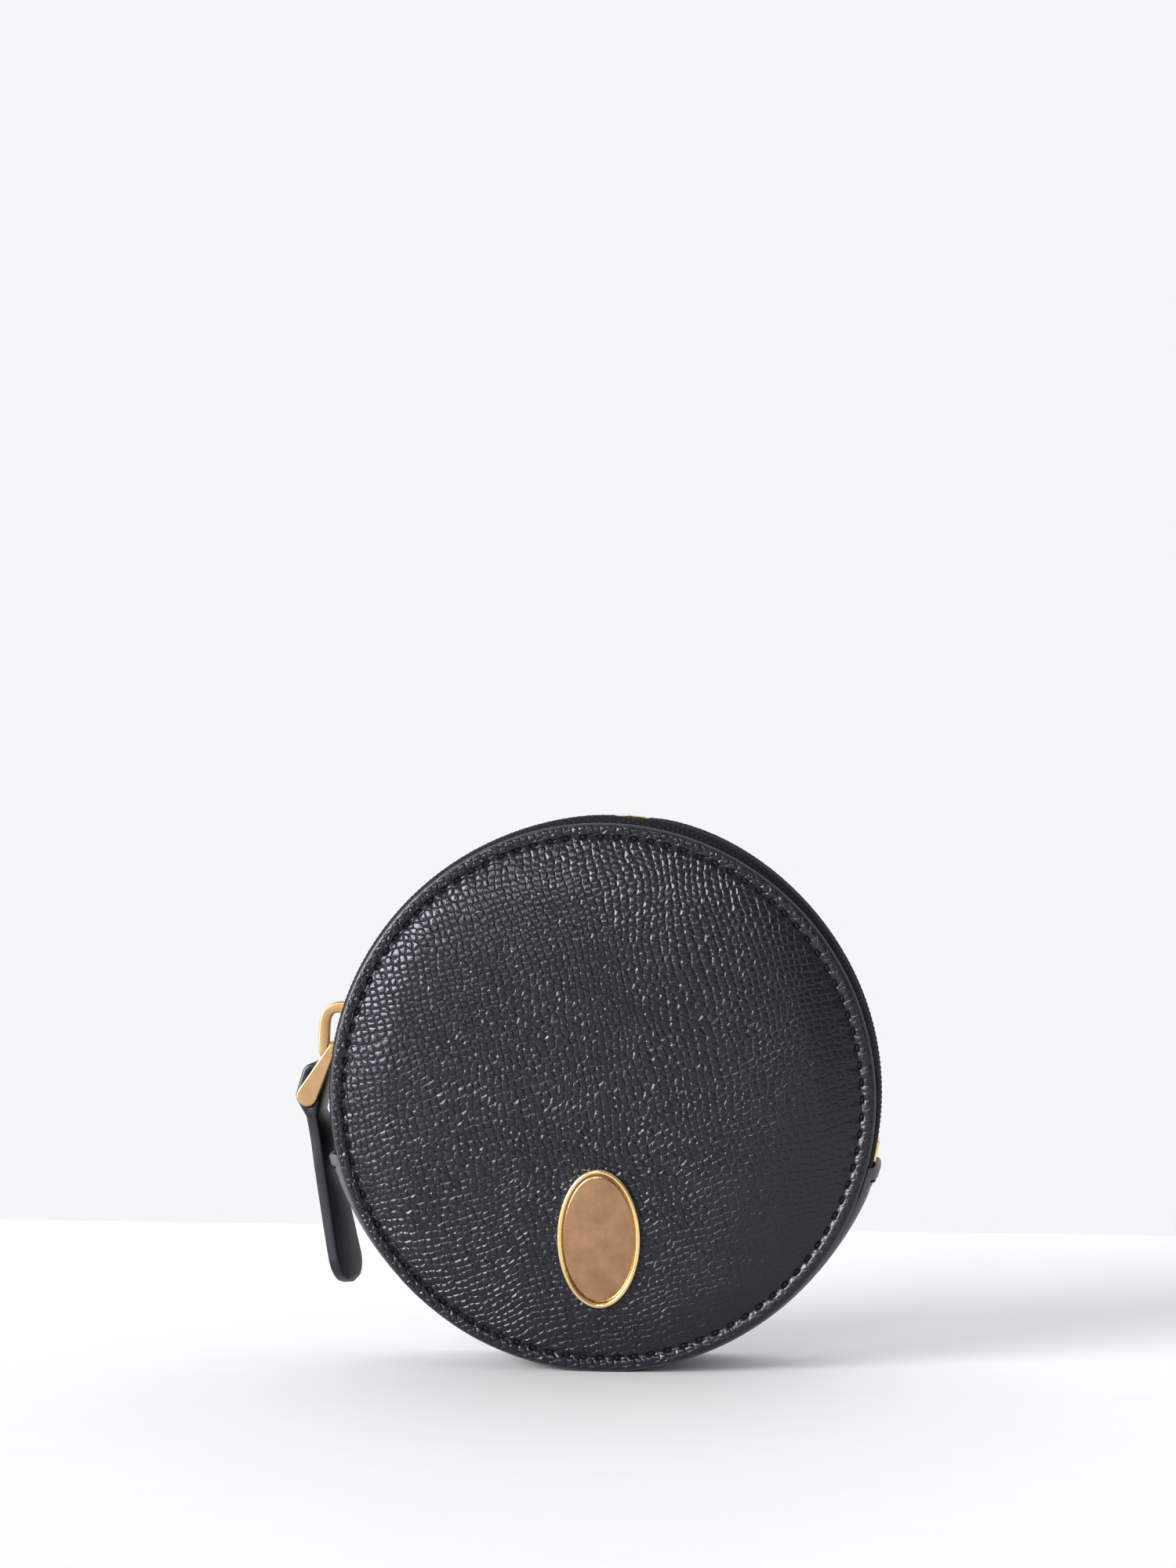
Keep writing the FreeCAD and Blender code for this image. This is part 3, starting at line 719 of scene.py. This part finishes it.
def build_discs():
    cells = FACE_CELLS // CLOTH_STEP
    push = inflate(cells)
    push = finer(push, CLOTH_STEP)
    front = leather_face("front_panel_leather", -1, 11, push)
    back = leather_face("back_panel_leather", 1, 37, push.T)
    front_rim = leather_rim("front_panel_rim", -1, 11)
    back_rim = leather_rim("back_panel_rim", 1, 37)
    place(front, "grained_leather", "front_panel_lower", "front_panel_upper", bends=True)
    place(back, "grained_leather", "back_panel")
    place(front_rim, "grained_leather", bends=True)
    place(back_rim, "grained_leather")
    layers = (
        (stitching, "thread", "thread", "stitching"), (padding, "foam", "padding", "padding"),
        (lining, "lining_cloth", "lining", "lining"),
    )
    for build, name, slot, nodes in layers:
        in_front = build("front_" + name, -1)
        behind = build("back_" + name, 1)
        place(in_front, slot, f"front_{nodes}_lower", f"front_{nodes}_upper", bends=True)
        place(behind, slot, "back_" + nodes)


# ---- zip ----------------------------------------------------------------------------
def zip_rise(angle, side):
    """How far the zip's tape puffs up beside the teeth: most at the top right, in front."""
    away = np.asarray(angle, float) - 76
    spread = np.where(away < 0, 18 if side > 0 else 34, 20)
    low = 0.35 if side > 0 else 0.2
    dip = 0.35 * np.exp(-((np.asarray(angle, float) - 84.5) / 4) ** 2)
    return 0.95 * np.exp(-(away / spread) ** 2 / 2) - low - dip


def teeth_rise(angle):
    """Height of the teeth's middle against TAPE_MID_R: low in the zip, bowed out at the top."""
    return 1.35 * np.exp(-((np.asarray(angle, float) - 84) / 6) ** 2 / 2) - 0.8


def zip_tape(name, side):
    """Woven tape: sewn flat under the disc, puffed over its edge, ribbed by its weave."""
    angle = np.linspace(TAPE_FROM, TAPE_TO, 760)
    length = np.radians(angle) * TAPE_MID_R
    half = TAPE_T / 2
    flange = BAND_HALF - half
    shape = [
        (flange, 45.6), (flange, 47.6), (flange, 49.1), (flange - 0.25, 49.9), (flange - 1.1, 50.45),
        (8.3, 50.62), (7.2, 50.62), (5.9, 50.55), (4.7, 50.5), (3.0, 50.5), (0.9, 50.5),
    ]
    path = spline(shape, 30)
    tangent = np.gradient(path, axis=0)
    tangent /= np.linalg.norm(tangent, axis=1)[:, None]
    normal = np.stack([tangent[:, 1], -tangent[:, 0]], 1)
    loop = np.concatenate([path + normal * half, (path - normal * half)[::-1]])
    facing = np.concatenate([normal, -normal[::-1]])
    puff = np.exp(-((loop[:, 0] - 7.6) / 2.1) ** 4) * smoothstep((loop[:, 1] - 48.5) / 1.8)
    rings = []
    near_teeth = smoothstep((4.7 - loop[:, 0]) / 1.2)
    for a, at, out in zip(angle, length, zip_rise(angle, side)):
        rib = 0.1 * np.sin(math.tau * (at / 0.92 + loop[:, 0] / 1.5))
        r = loop[:, 1] + rib * facing[:, 1] + out * puff + float(teeth_rise(a)) * near_teeth
        y = loop[:, 0] + rib * facing[:, 0] * (np.abs(facing[:, 0]) > 0.1)
        rings.append(on_rim(np.full(len(loop), a), r, side * y))
    return loft(name, rings, [TAPE])


def tooth_mesh(side):
    """One tooth at the top of the rim: a clasp with a waist and a rounded head."""
    plan = [
        (-2.9, 0.42), (-2.3, 0.5), (-1.1, 0.54), (-0.62, 0.4), (-0.3, 0.38),
        (0.02, 0.5), (0.32, 0.42), (0.5, 0.2),
    ]
    outline = plan + [(y, -w) for y, w in reversed(plan)]
    levels = [(-TOOTH_HALF_H, 0.85), (-0.37, 1.0), (0.37, 1.0), (TOOTH_HALF_H, 0.85)]
    middle = np.mean([y for y, _ in outline])
    rings = [
        [(w * s, -side * (middle + (y - middle) * s), TAPE_MID_R + h) for y, w in outline]
        for h, s in levels
    ]
    return np.array(rings)


def teeth(name, side):
    """A row of metal teeth, closed with the other row."""
    step = math.degrees(TOOTH_PITCH / TAPE_MID_R)
    count = int((TEETH_TO - TEETH_FROM) / step)
    shift = 0.0 if side < 0 else step / 2
    one = tooth_mesh(side)
    rings, points = one.shape[:2]
    parts, faces = [], []
    for i in range(count):
        at = TEETH_FROM + shift + step * i
        a = math.radians(at - 90)
        x, y, r = one[..., 0], one[..., 1], one[..., 2] + float(teeth_rise(at))
        turned = np.stack(
            [x * math.cos(a) - r * math.sin(a), y, CENTRE_Z + x * math.sin(a) + r * math.cos(a)], -1
        )
        offset = i * rings * points
        faces += grid_faces(rings, points, wrap_columns=True, offset=offset)
        faces.append([offset + k for k in range(points)])
        faces.append([offset + (rings - 1) * points + k for k in range(points)])
        parts.append(turned.reshape(-1, 3))
    return outward(new_object(name, np.concatenate(parts), faces, [ZIP_METAL], smooth=False))


def curved_block(name, start, end, y0, y1, r0, r1, mat, steps=8, round_by=0.2):
    """Small block that follows the rim between two angles, with rounded edges."""
    y, r = np.array([(y0, r0), (y1, r0), (y1, r1), (y0, r1)]).T
    rings = [on_rim(np.full(4, a), r, y) for a in np.linspace(start, end, steps)]
    return flat_bevel(loft(name, rings, [mat]), round_by, 30)


def stop(name, angles, y0, y1, round_by=0.2):
    """Metal clip across one tape or both, where the slider comes to rest."""
    low, high = TAPE_MID_R - 1.6, TAPE_MID_R + 0.7
    return curved_block(name, *angles, y0, y1, low, high, ZIP_METAL, round_by=round_by)


def build_zip():
    for name, side, bends in (("front", -1, True), ("back", 1, False)):
        tape, row = zip_tape(name + "_tape_cloth", side), teeth(name + "_teeth_row", side)
        place(tape, "zip_tape", name + "_zip_tape", bends=bends)
        place(row, "zip_metal", name + "_zip_teeth", bends=bends)
        ends = sorted((side * STOP_REACH, side * STOP_GAP))
        top = stop(name + "_top_stop_clip", TOP_STOPS, *ends)
        place(top, "zip_metal", name + "_top_stop", bends=bends)
    bottom = stop("bottom_stop_clip", BOTTOM_STOP, -STOP_REACH, STOP_REACH, round_by=0.45)
    place(bottom, "zip_metal", "zip_bottom_stop")


# ---- slider and puller --------------------------------------------------------------
SLIDER_HALF = 6.3
SLIDER_W = 4.1
SLIDER_WALL = 0.9
DIVIDER = (2.8, 5.2)          # angles, from the slider's middle towards its wide end
PLATE_T = 0.5
PLATE_TOP = TAPE_MID_R + 0.45
PLATE_LOW = TAPE_MID_R - 2.0
HOOK_BASE = 52.05             # radius that the hook's heights are measured from
HOOK = (
    (-5.3, -1.4), (-5.5, 0.0), (-5.2, 0.85), (-4.2, 1.45), (-1.8, 2.0), (1.1, 2.45),
    (2.65, 2.2), (3.65, 1.4), (4.15, 0.3), (4.3, -0.9),
)                             # its middle line: along the slider, and above HOOK_BASE


def at_slider(along, out, y):
    """Point by length along the closed zip from the slider's middle, and by radius."""
    turn = math.radians(SLIDER_AT - 90)
    along, out = np.asarray(along, float), np.asarray(out, float)
    x = along * math.cos(turn) - out * math.sin(turn)
    z = along * math.sin(turn) + out * math.cos(turn)
    return np.stack(np.broadcast_arrays(x, y, CENTRE_Z + z), -1)


def slider_shell(name, outer, inner, lip):
    """One half of the slider: a plate with a lip down each side, rounded in plan."""
    rings = []
    for t in np.linspace(-1, 1, 17):
        angle = SLIDER_AT - t * SLIDER_HALF
        width = SLIDER_W * (1 - 0.32 * abs(t) ** 6) * (1.0 - 0.05 * t)
        inside = width - SLIDER_WALL
        section = np.array([
            (-width, outer), (width, outer), (width, lip), (inside, lip),
            (inside, inner), (-inside, inner), (-inside, lip), (-width, lip),
        ])
        rings.append(on_rim(np.full(8, angle), section[:, 1], section[:, 0]))
    return flat_bevel(loft(name, rings, [PULLER_METAL]), 0.22, 40)


def bar_along(name, path, thickness, width, mat):
    """Flat bar swept along (along, out) points in the slider's plane."""
    path = np.array(path, float)
    tangent = np.gradient(path, axis=0)
    tangent /= np.linalg.norm(tangent, axis=1)[:, None]
    normal = np.stack([-tangent[:, 1], tangent[:, 0]], 1)
    rings = []
    for p, n, t, w in zip(path, normal, thickness, width):
        section = rounded_section(t / 2, w / 2, 0.3)
        at = p + section[:, :1] * n
        rings.append(at_slider(at[:, 0], at[:, 1], section[:, 1]))
    return loft(name, rings, [mat])


def rounded_section(a, b, r, steps=4):
    """Rounded rectangle, half sizes a and b, as points."""
    points = []
    for sx, sy, start in ((1, 1, 0), (-1, 1, 90), (-1, -1, 180), (1, -1, 270)):
        for k in range(steps + 1):
            turn = math.radians(start + 90 * k / steps)
            points.append((sx * (a - r) + r * math.cos(turn), sy * (b - r) + r * math.sin(turn)))
    return np.array(points)


def spline(points, count):
    """Smooth curve through points (Catmull-Rom)."""
    points = np.array(points, float)
    padded = np.vstack([2 * points[0] - points[1], points, 2 * points[-1] - points[-2]])
    result = []
    for t in np.linspace(0, len(points) - 1, count):
        i = min(int(t), len(points) - 2)
        f = t - i
        p0, p1, p2, p3 = padded[i:i + 4]
        result.append(0.5 * (
            2 * p1 + (p2 - p0) * f + (2 * p0 - 5 * p1 + 4 * p2 - p3) * f ** 2
            + (3 * p1 - p0 - 3 * p2 + p3) * f ** 3
        ))
    return np.array(result)


def slider_hook():
    """The open hook over the slider that holds the puller."""
    path = spline([(along, HOOK_BASE + up) for along, up in HOOK], 44)
    t = np.linspace(0, 1, 44)
    thickness = 1.6 + 0.25 * smoothstep(t / 0.3) + 0.35 * smoothstep((t - 0.75) / 0.25)
    width = 2.6 + 0.5 * smoothstep((0.16 - t) / 0.16)
    return bar_along("slider_hook", path, thickness, width, PULLER_METAL)


def build_slider():
    lip_out, lip_in = TAPE_MID_R - 0.05, TAPE_MID_R - 0.75
    start, end = (SLIDER_AT + from_middle for from_middle in DIVIDER)
    parts = [
        slider_shell("slider_top", PLATE_TOP, PLATE_TOP - PLATE_T, lip_out),
        slider_shell("slider_low", PLATE_LOW, PLATE_LOW + PLATE_T, lip_in),
        slider_hook(),
        curved_block(
            "slider_divider", start, end, -0.8, 0.8, PLATE_LOW + 0.4, PLATE_TOP - 0.4, PULLER_METAL
        ),
    ]
    place(join("zip_slider", parts), "puller_metal", "slider_body", body="slider")


def teardrop_outline(a, ra, b, rb, steps=18):
    """Outline of two circles and their outer tangents, in the XZ plane."""
    along = (b - a) / np.linalg.norm(b - a)
    heading = math.atan2(along[1], along[0])
    lean = math.acos((ra - rb) / np.linalg.norm(b - a))
    far = np.linspace(heading + lean, heading - lean, steps)
    near = np.linspace(heading - lean, heading + lean - math.tau, steps)
    points = [b + rb * np.array([math.cos(t), math.sin(t)]) for t in far]
    points += [a + ra * np.array([math.cos(t), math.sin(t)]) for t in near]
    return np.array(points)


def plate(name, outline, y0, y1, mat, round_by):
    """Flat plate with rounded edges from an outline in the XZ plane."""
    n = len(outline)
    verts = [(x, y0, z) for x, z in outline] + [(x, y1, z) for x, z in outline]
    faces = [[i, (i + 1) % n, n + (i + 1) % n, n + i] for i in range(n)]
    faces += [list(range(n)), list(range(n, 2 * n))]
    return flat_bevel(outward(new_object(name, verts, faces, [mat], smooth=False)), round_by, 50)


LINK_IN, LINK_OUT = 5.45, 6.55       # inner and outer faces of the cheeks
LINK_BOW = np.array([1.1, -0.35])    # how far the top bar's ends bow in towards the purse
CHEEK_TOP_R, CHEEK_LOW_R = 0.8, 1.98
TOP_BAR_R, LOW_BAR_R = 0.5, 0.8


def link_bar(name, radius, sides, stations, middle):
    """Round bar between the cheeks; middle gives its centre in XZ at each y."""
    rings = []
    for y in np.linspace(-LINK_OUT + 0.3, LINK_OUT - 0.3, stations):
        rings.append([(x, y, z) for x, z in middle(y) + radius * circle(sides)])
    return loft(name, rings, [PULLER_METAL])


def build_link():
    top, low = PIVOT[[0, 2]], LINK_BAR[[0, 2]]
    outline = teardrop_outline(top + LINK_BOW, CHEEK_TOP_R, low, CHEEK_LOW_R)
    parts = []
    for side in (-1, 1):
        y0, y1 = sorted((side * LINK_IN, side * LINK_OUT))
        parts.append(plate("cheek", outline, y0, y1, PULLER_METAL, 0.26))
    parts += [
        link_bar("top_bar", TOP_BAR_R, 16, 25, lambda y: top + LINK_BOW * min((y / LINK_IN) ** 2, 1)),
        link_bar("low_bar", LOW_BAR_R, 24, 2, lambda y: low),
    ]
    place(join("pull_link", parts), "puller_metal", "puller_link", body="link")


TAB_LEAN = 10.8
TAB_LEN = 35.9
TAB_HALF = 5.2
TAB_T = 2.2
TAB_BOW = 1.2                 # how far the tip curls away from the purse
FOLD_SLACK = np.array([0.95, 3.85])  # from the bar to the top of the slack fold
TAB_NECK = 3.6                # where the fold round the bar becomes one strip
TAB_TWIST = ((0, 0), (3, 0), (8, 8), (14, 3.5), (22, 11), (30, 15), (37, 18))


def build_tab():
    """Leather strip folded round the link's bar: twisted a little, rounded at the tip."""
    lean = math.radians(TAB_LEAN)
    down = np.array([math.sin(lean), 0, -math.cos(lean)])
    knots = spline(TAB_TWIST, 60)
    rings = []
    for s in np.linspace(TAB_NECK - 0.8, TAB_LEN, 110):
        left = TAB_LEN - s
        half = TAB_HALF
        if left < TAB_HALF:
            half = math.sqrt(max(TAB_HALF ** 2 - (TAB_HALF - left) ** 2, 0.04))
        thick = TAB_T / 2 * (0.6 + 0.4 * smoothstep(left / 1.0))
        turn = math.radians(np.interp(s, knots[:, 0], knots[:, 1]))
        wide = np.array([math.sin(turn), math.cos(turn), 0.0])
        wide -= down * wide.dot(down)
        wide /= np.linalg.norm(wide)
        flat = np.cross(down, wide)
        section = rounded_section(thick, half, min(0.55, thick * 0.8, half * 0.8), 4)
        aside = TAB_HALF * math.sin(turn) - TAB_BOW * smoothstep(s / TAB_LEN)
        centre = LINK_BAR + down * s + np.array([aside, 0, 0])
        rings.append(centre + section[:, :1] * flat + section[:, 1:] * wide)
    strip = loft("strip", rings, [TAB_LEATHER, TAB_EDGE])
    for polygon in strip.data.polygons:     # the narrow sides and the tip carry edge paint
        if abs(polygon.normal.y) > 0.62 or polygon.normal.z < -0.62:
            polygon.material_index = 1
    obj = join("leather_pull", [strip, fold_round_bar(down)])
    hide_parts("pull_tab")
    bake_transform(obj)


def round_outline(circles, steps=56):
    """Outline of the tight band round some circles ((x, z), radius), by direction."""
    points = []
    for way in circle(steps):
        reach = [np.dot(centre, way) + radius for centre, radius in circles]
        centre, radius = circles[int(np.argmax(reach))]
        points.append(np.asarray(centre) + radius * way)
    return np.array(points)


def fold_round_bar(down):
    """The slack fold of the strip over the link's lower bar."""
    bar = LINK_BAR[[0, 2]]
    neck = bar + down[[0, 2]] * TAB_NECK
    slack = bar + FOLD_SLACK
    outer = round_outline([(slack, 2.1), (bar, 2.3), (neck, TAB_T / 2 - 0.02)])
    inner = round_outline([(slack, 0.8), (bar, 0.84)])
    rings = []
    for outline, shrink, y in (
        (outer, 0.25, -TAB_HALF), (outer, 0.0, -TAB_HALF + 0.25), (outer, 0.0, TAB_HALF - 0.25),
        (outer, 0.25, TAB_HALF), (inner, 0.0, TAB_HALF), (inner, 0.0, -TAB_HALF),
    ):
        middle = outline.mean(0)
        away = outline - middle
        away *= 1 - shrink / np.linalg.norm(away, axis=1)[:, None]
        rings.append([(x, y, z) for x, z in middle + away])
    obj = loft("fold", rings, [TAB_LEATHER, TAB_EDGE], wrap=True)
    for polygon in obj.data.polygons:
        if abs(polygon.normal.y) > 0.6:
            polygon.material_index = 1
    return obj


# ---- gusset -------------------------------------------------------------------------
def gusset_profile():
    """Angles along the gusset, how far each is from a folded end, and the rise over GUSSET_R."""
    start, end = CUFFS
    angles = np.concatenate([
        np.linspace(start, start + 6, 60), np.linspace(start + 6.4, end - 6.4, 260),
        np.linspace(end - 6, end, 60),
    ])
    from_end = np.minimum(angles - start, end - angles)
    rise = (CUFF_OUT - 0.45 - GUSSET_R) * np.exp(-(from_end / 17) ** 1.4)
    fold = 0.45 * (1 - smoothstep((from_end - 1.7) / 0.5))
    notch = 0.28 * np.exp(-((from_end - CUFF_SEAM) / 0.22) ** 2)
    crease = 0.12 * np.exp(-((from_end - 4.4) / 0.5) ** 2)
    return angles, from_end, rise + fold - notch - crease


def resting(radius, angle, lift):
    """Radius cut back so that the strip lies flat where it meets the floor."""
    down = -np.sin(np.radians(angle))
    limit = (CENTRE_Z - lift) / np.maximum(down, 1e-3)
    return np.minimum(radius, limit)


def across_gusset(w):
    """Share of the rise kept at w, from 0 in the middle to 1 at the edge under the disc."""
    return math.sqrt(max(1 - abs(w) ** 6, 0))


def build_gusset():
    angles, from_end, rise = gusset_profile()
    off_tape = smoothstep((from_end - 4.9) / 0.9)
    width = np.concatenate([
        np.linspace(-1, -0.86, 8), np.linspace(-0.8, 0.8, 17), np.linspace(0.86, 1, 8),
    ])
    rings = []
    for w in width:
        y = w * (BAND_HALF - 0.02)
        raised = np.minimum(rise, 1)
        tuck = 0.4 * smoothstep((abs(w) - 0.86) / 0.14) * (1 - raised)
        bulge = 0.25 * (1 - w * w) * (1 - 0.5 * raised)
        uneven = 0.07 * soft_noise(angles * 0.9, np.full(len(angles), y), 9, 5)
        outer = GUSSET_R + rise * across_gusset(w)
        out = resting(outer + bulge - tuck + uneven * (1 - abs(w) ** 8), angles, 0.02)
        over_tape = TAPE_OUT - 0.62 + 0.8 * (1 - abs(w) ** 16)
        inner = over_tape * (1 - off_tape) + (GUSSET_R - GUSSET_T) * off_tape
        lower = resting(np.minimum(inner, out - 0.15), angles, GUSSET_T)
        top = on_rim(angles, out, y)
        under = on_rim(angles, lower, y)[::-1]
        fold_a = end_fold(angles[-1], lower[-1], out[-1], y, 1)
        fold_b = end_fold(angles[0], lower[0], out[0], y, -1)[::-1]
        rings.append(np.concatenate([top, fold_a[::-1], under, fold_b[::-1]]))
    obj = loft("gusset_leather", rings, [PLAIN])
    place(obj, "plain_leather", "gusset")
    build_gusset_lining()
    build_cuff_thread()


def end_fold(angle, low, high, y, direction):
    """Half round at a folded end, from the inner face to the outer one."""
    radius = (high - low) / 2
    middle = (high + low) / 2
    turn = np.radians(np.linspace(-60, 60, 5))
    reach = np.degrees(0.9 * radius * np.cos(turn) / middle)
    return on_rim(angle + direction * reach, middle + radius * np.sin(turn), y)


def build_gusset_lining():
    """Cloth strip inside the gusset."""
    angles = np.linspace(GUSSET_FROM, GUSSET_TO, 160)
    reach = BAND_HALF - 1.0
    rings = []
    for y in np.linspace(-reach, reach, 12):
        out = resting(np.full(len(angles), GUSSET_R - 0.95), angles, GUSSET_T + 0.02)
        low = resting(np.full(len(angles), GUSSET_R - 1.35), angles, GUSSET_T + 0.4)
        rings.append(np.concatenate([on_rim(angles, out, y), on_rim(angles, low, y)[::-1]]))
    obj = loft("gusset_lining_cloth", rings, [LINING])
    place(obj, "lining", "gusset_lining")


def build_cuff_thread():
    """A row of stitches across each folded end."""
    tubes = []
    along = np.linspace(-1, 1, 9)
    for angle in (CUFFS[0] + CUFF_SEAM, CUFFS[1] - CUFF_SEAM):
        for i in range(6):
            y = (i - 2.5) * 3.0 + along * 1.3
            arch = 1 - np.abs(along) ** 4
            keep = np.array([across_gusset(v / BAND_HALF) for v in y])
            r = CUFF_OUT - 0.5 + 0.15 * arch - (CUFF_OUT - GUSSET_R) * (1 - keep)
            tubes.append(np.stack([
                on_rim(angle + np.degrees(0.22 * math.cos(t) / CUFF_OUT), r + 0.22 * math.sin(t), y)
                for t in AROUND_THREAD
            ], 1))
    place(threads("cuff_thread", tubes), "thread", "gusset_end_stitching")


# ---- plaque -------------------------------------------------------------------------
PLAQUE_HALF = (7.6, 12.7)
PLAQUE_Z = 24.7
PLAQUE_BAND = 0.9             # width of the rim round the field


def plaque_plane(z):
    """Front leather under the plaque, as a flat tilted seat."""
    edge = 11.0
    top = float(dome(abs(PLAQUE_Z + edge - CENTRE_Z)))
    low = float(dome(abs(PLAQUE_Z - edge - CENTRE_Z)))
    return low + (top - low) * (z - PLAQUE_Z + edge) / (2 * edge) + 0.25


def oval_ring(half_x, half_z, lift, steps=72):
    x, z = (circle(steps) * (half_x, half_z)).T + [[0], [PLAQUE_Z]]
    return np.stack([x, -(plaque_plane(z) + lift), z], -1)


def build_plaque():
    half_x, half_z = PLAQUE_HALF
    levels = [
        (0.0, -0.9), (0.0, 0.55), (0.12, 0.85), (0.4, 0.98), (0.7, 0.92), (0.86, 0.7), (0.9, 0.45),
    ]
    rings = [oval_ring(half_x - step, half_z - step, lift) for step, lift in levels]
    rings.append(oval_ring(half_x - PLAQUE_BAND, half_z - PLAQUE_BAND, -0.9))
    rim = loft("plaque_rim", rings, [PLAQUE_GOLD], wrap=True)
    place(rim, "plaque_gold", "plaque_frame")
    wide, tall = half_x - 0.88, half_z - 0.88
    rings = []
    for share in np.linspace(1, 0.04, 14):
        lift = 0.45 + 0.3 * (1 - share ** 2)
        rings.append(oval_ring(wide * share, tall * share, lift))
    rings.insert(0, oval_ring(wide, tall, -0.8))
    field = loft("plaque_field", rings, [PLAQUE_ROSE])
    place(field, "plaque_rose", "plaque_inlay")
    for name in ("plaque_posts", "plaque_washers"):
        paint_node(name, PLAQUE_GOLD)


def paint_node(name, mat):
    """Puts a material on every slot of a CAD node."""
    obj = frame["nodes"][name]
    if not obj.data.materials:
        obj.data.materials.append(mat)
    for i in range(len(obj.data.materials)):
        obj.data.materials[i] = mat


# ---- stage, camera and lights -------------------------------------------------------
CAMERA_DISTANCE = 620.0
CAMERA_YAW = 6.0              # degrees that it stands to the right of straight ahead
CAMERA_ABOVE = 57.1           # above the purse's centre
CAMERA_ASIDE = 2.3            # the purse stands this far right of the view's middle
LENS = 104.16
FLOOR_SIDE = 20000.0
FLOOR_NEAR = 20000.0
FLOOR_FAR = 190.0             # the ledge that the purse stands on ends this far behind it
FLOOR_T = 12.0
FLOOR_TOP = -0.02             # a hair under the purse


def build_stage():
    """Pale ledge that the purse stands on."""
    mat = material("pale_floor", (0.88, 0.885, 0.9), 0.75)
    texture = noise(mat, 160, 4, (0.25, 1, 1))
    shade(mat, texture, "Fac", (0.86, 0.865, 0.88), (0.89, 0.895, 0.91))
    link_bump(mat, add_bump(mat, texture, "Fac", 0.4, 0.0002))
    rings = [
        [(-FLOOR_SIDE, y, FLOOR_TOP), (FLOOR_SIDE, y, FLOOR_TOP),
         (FLOOR_SIDE, y, -FLOOR_T), (-FLOOR_SIDE, y, -FLOOR_T)]
        for y in (-FLOOR_NEAR, FLOOR_FAR)
    ]
    floor = loft("floor", rings, [mat])
    bevel(floor, 1.5)


def build_camera():
    yaw = math.radians(CAMERA_YAW)
    forward = np.array([-math.sin(yaw), math.cos(yaw), 0])
    right = np.array([math.cos(yaw), math.sin(yaw), 0])
    aim = np.array([0, -RIM_Y, CENTRE_Z])
    stand = aim - CAMERA_DISTANCE * forward - CAMERA_ASIDE * right + np.array([0, 0, CAMERA_ABOVE])
    data = bpy.data.cameras.new("camera")
    data.sensor_fit = "HORIZONTAL"
    data.sensor_width = 36
    data.lens = LENS
    data.clip_start = 0.05
    data.clip_end = 20
    camera = bpy.data.objects.new("camera", data)
    camera.location = Vector(stand * MM)
    camera.rotation_euler = (math.radians(90), 0, yaw)
    bpy.context.scene.collection.objects.link(camera)
    bpy.context.scene.camera = camera


def sun(name, left, up, strength, spread, color):
    """Far soft light, placed in degrees left of the front and above the floor."""
    data = bpy.data.lights.new(name, "SUN")
    data.energy = strength
    data.angle = math.radians(spread)
    data.color = color
    light = bpy.data.objects.new(name, data)
    a, e = math.radians(left), math.radians(up)
    source = Vector((-math.sin(a) * math.cos(e), -math.cos(a) * math.cos(e), math.sin(e)))
    light.rotation_euler = source.to_track_quat("Z", "Y").to_euler()
    bpy.context.scene.collection.objects.link(light)


WORLD_FRONT, WORLD_BACK, WORLD_TOP = 0.19, 0.94, 0.2  # brightness, the last added overhead


def build_world():
    """Pale studio: bright behind the purse and dim in front, with a little added overhead."""
    world = bpy.data.worlds.new("studio")
    bpy.context.scene.world = world
    world.use_nodes = True
    background = world.node_tree.nodes["Background"]
    where = node(world, "ShaderNodeTexCoord")
    parts = node(world, "ShaderNodeSeparateXYZ", Vector=(where, "Generated"))
    behind = remap(world, parts, "Y", (-0.6, 0.5), (WORLD_FRONT, WORLD_BACK))
    above = remap(world, parts, "Z", (0.25, 0.9), (0, WORLD_TOP))
    total = combine(world, "ADD", (behind, "Result"), (above, "Result"))
    world.node_tree.links.new(total.outputs["Value"], background.inputs["Strength"])
    background.inputs["Color"].default_value = (0.975, 0.98, 1, 1)


def build_lights():
    sun("window", left=50, up=18, strength=5.9, spread=34, color=(1, 0.995, 0.985))
    sun("front", left=10, up=20, strength=0.62, spread=9, color=(1, 0.99, 0.97))
    build_world()
    bpy.context.scene.view_settings.view_transform = "Standard"


build_camera()
build_discs()
build_zip()
build_slider()
build_link()
build_tab()
build_gusset()
build_plaque()
build_stage()
build_lights()
